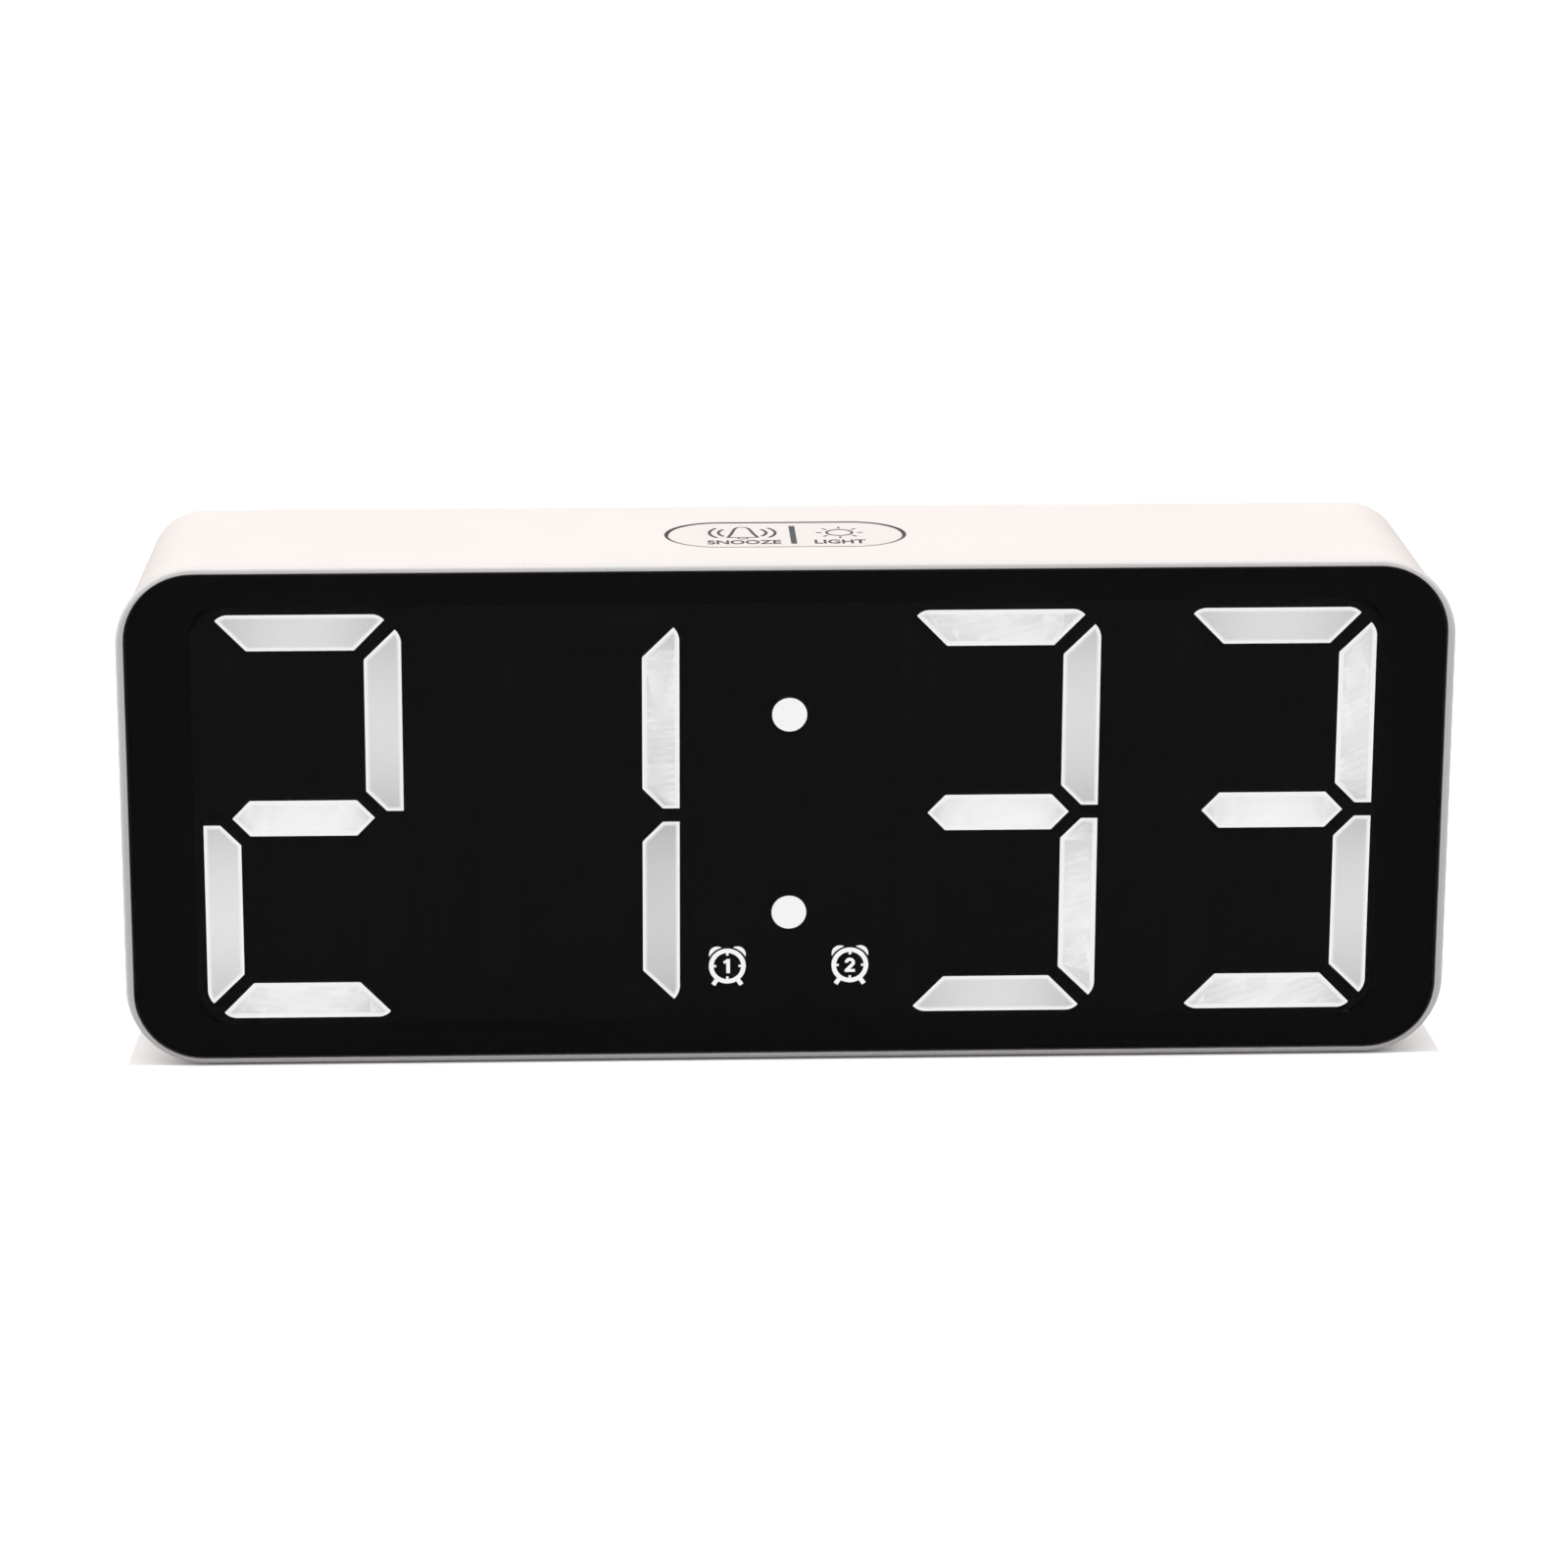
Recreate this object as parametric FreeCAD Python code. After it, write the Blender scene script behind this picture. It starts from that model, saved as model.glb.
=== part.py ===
"""Bedside digital alarm clock with a tall white segment display.

One STEP file per piece goes to parts/. Millimetres, +Z up, +Y to the back of the
clock. The origin is on the surface it stands on, under the middle of the clock.
"""
import FreeCAD, Part
import math
import os

Vec = FreeCAD.Vector

# ---------------------------------------------------------------- case sizes
CASE_W = 160.0            # width at the front rim
CASE_H = 62.4             # height at the front rim
CASE_D = 34.0             # front rim to back wall
FOOT_STAND = 0.3          # gap between the case and the table
BUTTON_STAND = 0.8        # back buttons stand this far out of the back wall
SIDE_TAPER = 2.3          # each side closes in by this much at the back
TOP_TAPER = 1.25          # and the top comes down by this much
FRONT_R = 9.6             # corner radius at the front rim
BACK_R = 7.0              # corner radius at the back
BACK_FILLET = 2.0         # rounding around the back wall
WALL = 2.0                # shell wall

FRONT = -(CASE_D + BUTTON_STAND) / 2
BACK = FRONT + CASE_D
BACK_IN = BACK - WALL
MID_Z = FOOT_STAND + CASE_H / 2

THROUGH = 1.0             # how far a cutting tool stands out at each end
BITE = 0.5                # how far a piece reaches into the one that carries it
TINY = 1e-6

# ------------------------------------------------------------- front and lens
LENS_W = 157.8
LENS_H = 60.9
LENS_R = 8.3
LENS_T = 0.9
LENS_RECESS = 0.1         # lens face behind the rim
LENS_GAP = 0.1            # around the lens
LENS_CHAMFER = 0.2
RIM_D = 1.3               # depth of the rim in front of the parting line
RIM_ROUND = 0.55
PARTING = 0.15            # width of the parting line
RIM_STEP = 0.35           # the shell behind the rim is this much smaller all round
LEDGE_W = 143.4           # opening in the ledge that the lens is glued to
LEDGE_H = 53.6
LEDGE_R = 6.5
LEDGE_T = 1.4
SKIRT_T = 1.2
SKIRT_D = 6.0             # how far the skirt reaches into the shell
SKIRT_GAP = 0.1
LEDGE_Y = FRONT + LENS_RECESS + LENS_T

# ------------------------------------------------------------------- display
DISPLAY_X = 0.22          # middle of the digits
DISPLAY_Z = MID_Z - 0.15
DIGIT_X = (-58.3, -25.2, 25.2, 58.3)
DIGIT_NAMES = ("hours_tens", "hours_units", "minutes_tens", "minutes_units")
DIGIT_HW = 12.0           # half the width of a digit
DIGIT_HH = 25.4           # half its height
STROKE = 4.45             # width of a segment
FLAT_END = 6.4            # straight part of a level segment, from the middle
TIP_X = 10.05             # outer tip of the top segment
TIP_DROP = 0.7            # how far that tip is below the top edge
UPRIGHT_TIP = 23.5        # height of the outer tip of an upright segment
UPRIGHT_SHOULDER = 19.8
UPRIGHT_FOOT = 0.85
UPRIGHT_HEEL = 3.35
COLON_DZ = 12.5
COLON_R = 2.1
ICON_X = 7.44
ICON_DZ = -19.35
ICON_R = 2.24             # outside of the ring in the alarm sign
ICON_RING_IN = 1.68
BELL_AT = 1.95            # middle of a bell, from the middle of the sign
BELL_R = 1.0
BELL_IN = 2.48            # gap between the bells and the ring
BELL_TURN = 51.0
ICON_PLUG_R = 3.1

HOUSING_HW = 71.3         # half the width of the segment housing
HOUSING_HH = 26.4
HOUSING_R = 6.0
HOUSING_T = 6.0
HOUSING_FRONT = LEDGE_Y + 0.15
HOUSING_BACK = HOUSING_FRONT + HOUSING_T
GUIDE_T = 4.0             # thickness of the light guides in the housing
ICON_T = 1.0
BOARD_T = 1.6
DISPLAY_BOARD_HW = 70.5
DISPLAY_BOARD_HH = 25.9
DISPLAY_BOARD_R = 4.0
BOARD_SCREWS = tuple((x, MID_Z + dz) for x in (-41.65, 41.65) for dz in (-18.0, 18.0))
LED_SIZE = (1.6, 0.6, 0.8)

# ------------------------------------------------- case screws and their posts
POST_X = 73.6
POST_DZ = 22.0
POST_SPOTS = tuple((sx * POST_X, MID_Z + dz) for sx in (-1, 1) for dz in (-POST_DZ, POST_DZ))
POST_R = 2.7
BOSS_R = 2.0
EAR_R = 2.4
SCREW_R = 0.85            # thread core, M2 self-tapping
SCREW_HEAD_R = 1.8
SCREW_HEAD_T = 1.3
SLOT_HALF_L = 1.2         # cross recess in a screw head
SLOT_HALF_W = 0.2
SLOT_DEPTH = 0.7
CLEAR_R = SCREW_R + 0.25  # hole that a screw passes through
PILOT_R = SCREW_R + 0.02  # hole that a screw bites in
PILOT_L = 5.5
CASE_SCREW_L = 6.9
DISPLAY_SCREW_L = 5.5
KEY_SCREW_L = 6.0
MAIN_SCREW_L = 6.5
COUNTERBORE_R = 2.05
HEAD_SEAT = HOUSING_BACK + 2.1
EAR_T = 1.5
PILLAR_R = 2.5            # round pillars that carry the boards
POST_CLEAR = 0.1

# ---------------------------------------------------------------- snooze key
KEY_X = 0.28
KEY_Y = -0.3
KEY_L = 28.6
KEY_W = 12.4
KEY_GAP = 0.4
KEY_FLANGE = 1.0          # flange past the key all round
KEY_FLANGE_T = 1.2
KEY_DROP = 0.15           # flange under the wall
KEY_RIM_ROUND = 0.3
KEY_TOP_Z = 70.0          # anywhere above the case
KEY_FOOT_Z = 56.0         # anywhere under the flange
STEM_TOP_Z = 59.5
STEM_REACH = 3.0
STEM_HALF_T = 0.8
KEY_BOARD_TOP = 50.5
KEY_BOARD_L = 48.0
KEY_BOARD_W = 10.0
KEY_POST_X = 20.0
KEY_POST_TOP = FOOT_STAND + CASE_H - 2.2
KEY_POSTS = (KEY_X - KEY_POST_X, KEY_X + KEY_POST_X)

# --------------------------------------------------------------- tact switches
SWITCH_W = 6.0
SWITCH_H = 3.5
PLUNGER_R = 1.7
PLUNGER_TIP = 4.8         # plunger tip above the board
PLUNGER_FOOT = 1.8
PLUNGER_GAP = 0.15
SWITCH_ROUND = 0.4
PLUNGER_TRAVEL = 0.8      # room under the plunger
STUD_AT = 2.2
STUD_R = 0.4
STUD_T = 0.15

# ------------------------------------------------------------- back buttons
BUTTON_NAMES = ("mode", "set", "alarm", "down", "up")
BUTTON_X = tuple(-64.0 + 13.0 * i for i in range(len(BUTTON_NAMES)))
BUTTON_Z = 36.0
BUTTON_L = 9.0
BUTTON_W = 5.0
BUTTON_GAP = 0.25
BUTTON_FLANGE = 1.1
BUTTON_FLANGE_T = 1.0
BUTTON_FLANGE_GAP = 0.2
BUTTON_ROUND = 0.4
BUTTON_STEM_R = 1.6

# -------------------------------------------------------------- main board
MAIN_X = (-69.0, 7.0)
MAIN_Z = (8.0, 46.0)
MAIN_FRONT = 6.0
MAIN_BACK = MAIN_FRONT + BOARD_T
MAIN_POSTS = ((-66.0, 10.8), (4.0, 10.8), (-66.0, 43.3), (4.0, 43.3))
SOCKET_X = -58.0
SOCKET_Z = 17.0
SOCKET_W = 8.94
SOCKET_H = 3.26
SOCKET_WALL = 0.3
SOCKET_GAP = 0.25
SOCKET_SEAT = 2.0         # recess in the case around the socket
SOCKET_SEAT_D = 0.8
SOCKET_DEPTH = 0.9        # mouth of the socket behind the back wall
SOCKET_FLOOR = 2.5
TONGUE_HW = 3.3
TONGUE_HT = 0.35
TONGUE_IN = 1.2
CHIP_T = 1.6
CHIP_STAND = 0.15
LEG_PITCH = 1.27
LEG_HALF = 0.2
LEG_RISE = 0.7
LEG_REACH = 1.0           # how far the legs stand out at each side
DRIVER_CHIP = (41.65, MID_Z, 10.2, 7.5)     # x, z, width, height
CLOCK_CHIP = (-45.0, 26.0, 12.8, 7.5)
CRYSTAL_X = -30.0
CRYSTAL_R = 1.5
CRYSTAL_Z = (22.0, 30.0)
BUZZER_X = -29.0
BUZZER_Z = 20.0
BUZZER_R = 7.0
BUZZER_T = 5.0
BUZZER_ROUND = 0.5
BUZZER_HOLE_R = 1.2
BUZZER_HOLE_D = 1.5
COLLAR_T = 1.3
COLLAR_D = 2.5
COLLAR_GAP = 0.1
SOUND_HOLE_R = 0.65
SOUND_RINGS = ((0.0, 1, 0.0), (2.6, 6, 0.0), (5.0, 12, 15.0))   # radius, holes, turn

# ------------------------------------------------------------- battery bay
BAY_X = 40.0
DOOR_W = 56.0             # opening for the door
DOOR_H = 38.0
DOOR_Z0 = 10.0            # lower edge of the opening
DOOR_GAP = 0.25
DOOR_T = 1.8
BAY_W = 52.0
BAY_H = 34.0
BOX_WALL = 1.2
BOX_FRONT = 2.4
CELL_R = 5.25
CELL_L = 44.5
CELL_PITCH = 11.0
CELL_SHIFT = -0.3         # the row of cells sits this much under the middle of the bay
CELL_Y = BOX_FRONT + BOX_WALL + CELL_R + 0.1
NUB_R = 1.9
NUB_T = 0.8
PLATE_HALF = 4.2
PLATE_T = 0.4
SPRING_R = 2.8
SPRING_WIRE = 0.35
SPRING_TURNS = 4.2
SPRING_PLAY = 0.3
SPRING_BITE = 0.05
CELLS = 3
CELL_ROUND = 0.5
RIB_IN = 7.0              # ribs between the cells stop this far from the end walls
RIB_H = 1.6
RIB_T = 1.0
LIP_X = 1.7               # flange of the box past the door opening
LIP_Z = 2.0
TAB_X = (-16.0, 16.0)     # door hooks, from the middle of the door
TAB_W = 6.0
TAB_GAP = 0.5
TAB_SLOT_D = 3.4
LATCH_W = 10.0
LATCH_GAP = 0.8
LATCH_SLOT_D = 6.4
LATCH_ROOM = 0.3
NOTCH_GAP = 0.5
NOTCH_H = 2.1
FINGER_L = 16.0           # recess for a fingertip at the latch
FINGER_W = 6.0
FINGER_D = 1.0
HINGE_R = DOOR_T / 2
HINGE_Y = BACK - HINGE_R
HINGE_Z = DOOR_Z0 + DOOR_GAP + HINGE_R
BAY_Z = DOOR_Z0 + DOOR_H / 2

FOOT_R = 4.0
FOOT_X = 66.0
FOOT_Y = (-10.0, 9.5)
FOOT_T = 1.3
FOOT_ROUND = 0.3
FOOT_GAP = 0.1

# ------------------------------------------------------------ wires and ribbon
BATTERY_LEAD_R = 0.6
BUZZER_LEAD_R = 0.4
KEY_LEAD_R = 0.5
LEAD_BEND = 1.5
RIBBON_X = -22.0
RIBBON_HALF = 6.0
RIBBON_T = 0.4
RIBBON_BEND = 2.0
RIBBON_Z = (43.0, 37.0)   # at the display board and at the main board


# ------------------------------------------------------------------ helpers
def box(x0, x1, y0, y1, z0, z1):
    return Part.makeBox(x1 - x0, y1 - y0, z1 - z0, Vec(x0, y0, z0))


def rod_y(x, z, r, y0, y1):
    return Part.makeCylinder(r, y1 - y0, Vec(x, y0, z), Vec(0, 1, 0))


def rod_z(x, y, r, z0, z1):
    return Part.makeCylinder(r, z1 - z0, Vec(x, y, z0), Vec(0, 0, 1))


def rod_x(y, z, r, x0, x1):
    return Part.makeCylinder(r, x1 - x0, Vec(x0, y, z), Vec(1, 0, 0))


def fuse(first, *others):
    return first.multiFuse(list(others)).removeSplitter()


def cut(solid, *tools):
    return solid.cut(Part.makeCompound(list(tools))) if len(tools) > 1 else solid.cut(tools[0])


def group(solids):
    return Part.makeCompound(list(solids))


def rounded_wire(x0, x1, z0, z1, r, y):
    """Rounded rectangle in an XZ plane, going round from its lower left corner."""
    s = r * (1 - math.sqrt(0.5))
    corner = lambda x, z: Vec(x, y, z)
    edges = [
        Part.LineSegment(corner(x0 + r, z0), corner(x1 - r, z0)),
        Part.Arc(corner(x1 - r, z0), corner(x1 - s, z0 + s), corner(x1, z0 + r)),
        Part.LineSegment(corner(x1, z0 + r), corner(x1, z1 - r)),
        Part.Arc(corner(x1, z1 - r), corner(x1 - s, z1 - s), corner(x1 - r, z1)),
        Part.LineSegment(corner(x1 - r, z1), corner(x0 + r, z1)),
        Part.Arc(corner(x0 + r, z1), corner(x0 + s, z1 - s), corner(x0, z1 - r)),
        Part.LineSegment(corner(x0, z1 - r), corner(x0, z0 + r)),
        Part.Arc(corner(x0, z0 + r), corner(x0 + s, z0 + s), corner(x0 + r, z0)),
    ]
    return Part.Wire([e.toShape() for e in edges])


def rounded_block(cx, cz, w, h, r, y0, y1):
    wire = rounded_wire(cx - w / 2, cx + w / 2, cz - h / 2, cz + h / 2, r, y0)
    return Part.Face(wire).extrude(Vec(0, y1 - y0, 0))


def capsule_y(cx, cz, length, width, y0, y1):
    r = width / 2
    half = length / 2 - r
    return fuse(box(cx - half, cx + half, y0, y1, cz - r, cz + r),
                rod_y(cx - half, cz, r, y0, y1), rod_y(cx + half, cz, r, y0, y1))


def capsule_z(cx, cy, length, width, z0, z1):
    r = width / 2
    half = length / 2 - r
    return fuse(box(cx - half, cx + half, cy - r, cy + r, z0, z1),
                rod_z(cx - half, cy, r, z0, z1), rod_z(cx + half, cy, r, z0, z1))


def case_section(y, inset):
    """Outline of the tapered case at depth y, moved in by inset."""
    t = (y - FRONT) / CASE_D
    half = CASE_W / 2 - SIDE_TAPER * t - inset
    top = FOOT_STAND + CASE_H - TOP_TAPER * t - inset
    r = FRONT_R + (BACK_R - FRONT_R) * t - inset
    return rounded_wire(-half, half, FOOT_STAND + inset, top, r, y)


def case_block(y0, y1, inset=0.0):
    return Part.makeLoft([case_section(y0, inset), case_section(y1, inset)], True, True)


def under_top(above):
    """Everything under a plane that runs parallel to the sloping top of the case."""
    reach = 30.0
    slope = TOP_TAPER / CASE_D
    z_of = lambda y: FOOT_STAND + CASE_H - slope * (y - FRONT) + above
    corners = [Vec(-reach, -reach, 0), Vec(-reach, reach, 0),
               Vec(-reach, reach, z_of(reach)), Vec(-reach, -reach, z_of(-reach))]
    face = Part.Face(Part.makePolygon(corners + corners[:1]))
    return face.extrude(Vec(2 * reach, 0, 0))


def lead(points, r, bend):
    """Round wire along points, with each corner rounded by an arc."""
    pts = [Vec(*p) for p in points]
    edges = []
    start = pts[0]
    for before, here, after in zip(pts, pts[1:], pts[2:]):
        way_in = (before - here).normalize()
        way_out = (after - here).normalize()
        half = way_in.getAngle(way_out) / 2
        reach = bend / math.tan(half)
        a = here + way_in * reach
        b = here + way_out * reach
        inward = (way_in + way_out).normalize()
        mid = here + inward * (bend / math.sin(half) - bend)
        edges += [Part.makeLine(start, a), Part.Arc(a, mid, b).toShape()]
        start = b
    edges.append(Part.makeLine(start, pts[-1]))
    path = Part.Wire(edges)
    ring = Part.Wire(Part.makeCircle(r, pts[0], pts[1] - pts[0]))
    return path.makePipeShell([ring], True, False)


# ------------------------------------------------------- display light guides
def top_segment():
    top = DIGIT_HH
    low = top - STROKE
    outer = TIP_X - 1.65
    p = lambda x, z: Vec(x, 0, z)
    edges = [
        Part.makeLine(p(-FLAT_END, low), p(FLAT_END, low)),
        Part.makeLine(p(FLAT_END, low), p(TIP_X, top - TIP_DROP)),
        Part.Arc(p(TIP_X, top - TIP_DROP), p(TIP_X - 0.65, top - 0.2), p(outer, top)).toShape(),
        Part.makeLine(p(outer, top), p(-outer, top)),
        Part.Arc(p(-outer, top), p(0.65 - TIP_X, top - 0.2), p(-TIP_X, top - TIP_DROP)).toShape(),
        Part.makeLine(p(-TIP_X, top - TIP_DROP), p(-FLAT_END, low)),
    ]
    return Part.Face(Part.Wire(edges))


def upper_right_segment():
    outer = DIGIT_HW
    inner = outer - STROKE
    tip = outer - TIP_DROP
    p = lambda x, z: Vec(x, 0, z)
    edges = [
        Part.makeLine(p(inner, UPRIGHT_SHOULDER), p(inner, UPRIGHT_HEEL)),
        Part.makeLine(p(inner, UPRIGHT_HEEL), p(outer - 2.0, UPRIGHT_FOOT)),
        Part.makeLine(p(outer - 2.0, UPRIGHT_FOOT), p(outer, UPRIGHT_FOOT)),
        Part.makeLine(p(outer, UPRIGHT_FOOT), p(outer, UPRIGHT_TIP - 1.9)),
        Part.Arc(p(outer, UPRIGHT_TIP - 1.9), p(outer - 0.2, UPRIGHT_TIP - 0.75),
                 p(tip, UPRIGHT_TIP)).toShape(),
        Part.makeLine(p(tip, UPRIGHT_TIP), p(inner, UPRIGHT_SHOULDER)),
    ]
    return Part.Face(Part.Wire(edges))


def middle_segment():
    half = STROKE / 2
    tip = FLAT_END + half - 0.1
    corners = [Vec(-tip, 0, 0), Vec(-FLAT_END, 0, -half), Vec(FLAT_END, 0, -half),
               Vec(tip, 0, 0), Vec(FLAT_END, 0, half), Vec(-FLAT_END, 0, half)]
    return Part.Face(Part.makePolygon(corners + corners[:1]))


def segment_faces():
    """The seven segments of one digit, about its middle."""
    level = top_segment()
    upright = upper_right_segment()
    centre = Vec(0, 0, 0)
    flip_x = lambda f: f.mirror(centre, Vec(1, 0, 0))
    flip_z = lambda f: f.mirror(centre, Vec(0, 0, 1))
    return [level, upright, flip_z(upright), flip_z(level),
            flip_z(flip_x(upright)), flip_x(upright), middle_segment()]


def solid_from(face, depth):
    body = face.extrude(Vec(0, depth, 0))
    return Part.Solid(body.Shells[0]) if body.Volume < 0 else body


def digit_segments(cx, depth):
    place = Vec(DISPLAY_X + cx, HOUSING_FRONT, DISPLAY_Z)
    return [solid_from(f, depth).translated(place) for f in segment_faces()]


def arc_bar(r_in, r_out, start, sweep, depth):
    """Part of a flat ring, angles in degrees from +X towards +Z."""
    at = lambda r, a: Vec(r * math.cos(math.radians(a)), 0, r * math.sin(math.radians(a)))
    end = start + sweep
    mid = start + sweep / 2
    edges = [
        Part.Arc(at(r_out, start), at(r_out, mid), at(r_out, end)).toShape(),
        Part.makeLine(at(r_out, end), at(r_in, end)),
        Part.Arc(at(r_in, end), at(r_in, mid), at(r_in, start)).toShape(),
        Part.makeLine(at(r_in, start), at(r_out, start)),
    ]
    return solid_from(Part.Face(Part.Wire(edges)), depth)


def bar(x0, z0, x1, z1, width, depth):
    """Straight bar between two points of the XZ plane."""
    along = Vec(x1 - x0, 0, z1 - z0)
    side = Vec(-along.z, 0, along.x).normalize() * (width / 2)
    a = Vec(x0, 0, z0)
    b = Vec(x1, 0, z1)
    corners = [a - side, b - side, b + side, a + side]
    return solid_from(Part.Face(Part.makePolygon(corners + corners[:1])), depth)


def icon_numeral(numeral, t):
    if numeral == 1:
        return fuse(bar(0.1, -0.9, 0.1, 0.9, 0.45, t), bar(-0.42, 0.42, 0.1, 0.75, 0.36, t))
    return fuse(arc_bar(0.22, 0.62, -25.0, 205.0, t).translated(Vec(0, 0, 0.3)),
                bar(0.42, 0.18, -0.42, -0.72, 0.42, t),
                bar(-0.62, -0.72, 0.62, -0.72, 0.36, t))


def icon_ticks(t):
    return [bar(1.35 * dx, 1.35 * dz, 1.8 * dx, 1.8 * dz, 0.3, t)
            for dx, dz in ((1, 0), (0, 1), (-1, 0), (0, -1))]


def icon_outside(t):
    """Outer disc, feet and bells of the sign: what is cut through the housing's face."""
    feet = [bar(side * 1.2, -1.65, side * 1.72, -2.4, 0.55, t) for side in (-1, 1)]
    disc = fuse(rod_y(0, 0, ICON_R, 0, t), *feet)
    bells = []
    for turn in (BELL_TURN, 180.0 - BELL_TURN):
        a = math.radians(turn)
        dome = rod_y(BELL_AT * math.cos(a), BELL_AT * math.sin(a), BELL_R, 0, t)
        bells.append(dome.cut(rod_y(0, 0, BELL_IN, 0, t)))
    return [disc] + bells


def icon_place(cx):
    return Vec(DISPLAY_X + cx, HOUSING_FRONT, DISPLAY_Z + ICON_DZ)


def icon_centre(cx, numeral):
    """Black middle of the sign, inside the ring and around the ticks and numeral."""
    middle = rod_y(0, 0, ICON_RING_IN, 0, ICON_T)
    middle = cut(middle, icon_numeral(numeral, ICON_T), *icon_ticks(ICON_T))
    return middle.translated(icon_place(cx))


def alarm_icon(cx, numeral):
    """Alarm clock sign raised on a clear plug: ring with ticks, bells, feet, numeral."""
    t = ICON_T
    outside = icon_outside(t)
    ring = outside[0].cut(rod_y(0, 0, ICON_RING_IN, 0, t))
    plug = rod_y(0, 0, ICON_PLUG_R, t, 2 * t)
    sign = fuse(plug, ring, *(outside[1:] + icon_ticks(t) + [icon_numeral(numeral, t)]))
    return sign.translated(icon_place(cx))


def colon_dots(depth):
    return [rod_y(DISPLAY_X, DISPLAY_Z + dz, COLON_R, HOUSING_FRONT, HOUSING_FRONT + depth)
            for dz in (-COLON_DZ, COLON_DZ)]


def led_places():
    """Two LEDs behind each segment, one behind each dot and icon."""
    level, lean, upright = DIGIT_HH - STROKE / 2, 4.0, DIGIT_HW - STROKE / 2
    per_digit = [(dx, dz) for dx in (-lean, lean) for dz in (-level, 0.0, level)]
    per_digit += [(dx, dz) for dx in (-upright, upright) for dz in (-16.0, -7.0, 7.0, 16.0)]
    places = [(cx + dx, dz) for cx in DIGIT_X for dx, dz in per_digit]
    places += [(0.0, dz) for dz in (-COLON_DZ, COLON_DZ)]
    places += [(x, ICON_DZ) for x in (-ICON_X, ICON_X)]
    return [(DISPLAY_X + x, DISPLAY_Z + z) for x, z in places]


def segment_leds():
    w, t, h = LED_SIZE
    return group(box(x - w / 2, x + w / 2, HOUSING_BACK - t, HOUSING_BACK, z - h / 2, z + h / 2)
                 for x, z in led_places())


def segment_housing():
    body = rounded_block(0, MID_Z, 2 * HOUSING_HW, 2 * HOUSING_HH, HOUSING_R,
                         HOUSING_FRONT, HOUSING_BACK)
    ears = []
    for x, z in POST_SPOTS:
        x0, x1 = sorted((math.copysign(HOUSING_HW - 2.0, x), x))
        ears.append(box(x0, x1, HOUSING_BACK - EAR_T, HOUSING_BACK, z - EAR_R, z + EAR_R))
        ears.append(rod_y(x, z, EAR_R, HOUSING_BACK - EAR_T, HOUSING_BACK))
    body = fuse(body, *ears)
    tools = [s for cx in DIGIT_X for s in digit_segments(cx, HOUSING_T)]
    tools += colon_dots(HOUSING_T)
    for x in (-ICON_X, ICON_X):
        tools += [s.translated(icon_place(x)) for s in icon_outside(ICON_T)]
        plug = rod_y(0, 0, ICON_PLUG_R, ICON_T, HOUSING_T)
        tools.append(plug.translated(icon_place(x)))
    tools += [rod_y(x, z, PILOT_R, HOUSING_BACK - DISPLAY_SCREW_L + BOARD_T, HOUSING_BACK)
              for x, z in BOARD_SCREWS]
    tools += [rod_y(x, z, CLEAR_R, HOUSING_BACK - EAR_T, HOUSING_BACK) for x, z in POST_SPOTS]
    return cut(body, *tools)


def screw_y(x, z, head_y, length, toward=-1):
    """Pan-head screw along Y: the head's under side is at head_y."""
    tip = head_y + toward * length
    y0, y1 = sorted((head_y, tip))
    shank = rod_y(x, z, SCREW_R, y0, y1)
    h0, h1 = sorted((head_y, head_y - toward * SCREW_HEAD_T))
    head = rod_y(x, z, SCREW_HEAD_R, h0, h1)
    top = h1 if toward < 0 else h0
    s0, s1 = sorted((top, top + toward * SLOT_DEPTH))
    slots = [box(x - a, x + a, s0, s1, z - b, z + b)
             for a, b in ((SLOT_HALF_L, SLOT_HALF_W), (SLOT_HALF_W, SLOT_HALF_L))]
    return cut(fuse(shank, head), *slots)


def display_board():
    y0, y1 = HOUSING_BACK, HOUSING_BACK + BOARD_T
    board = rounded_block(0, MID_Z, 2 * DISPLAY_BOARD_HW, 2 * DISPLAY_BOARD_HH,
                          DISPLAY_BOARD_R, y0, y1)
    return cut(board, *[rod_y(x, z, CLEAR_R, y0, y1) for x, z in BOARD_SCREWS])


def display_screws():
    return group(screw_y(x, z, HOUSING_BACK + BOARD_T, DISPLAY_SCREW_L) for x, z in BOARD_SCREWS)


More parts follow.
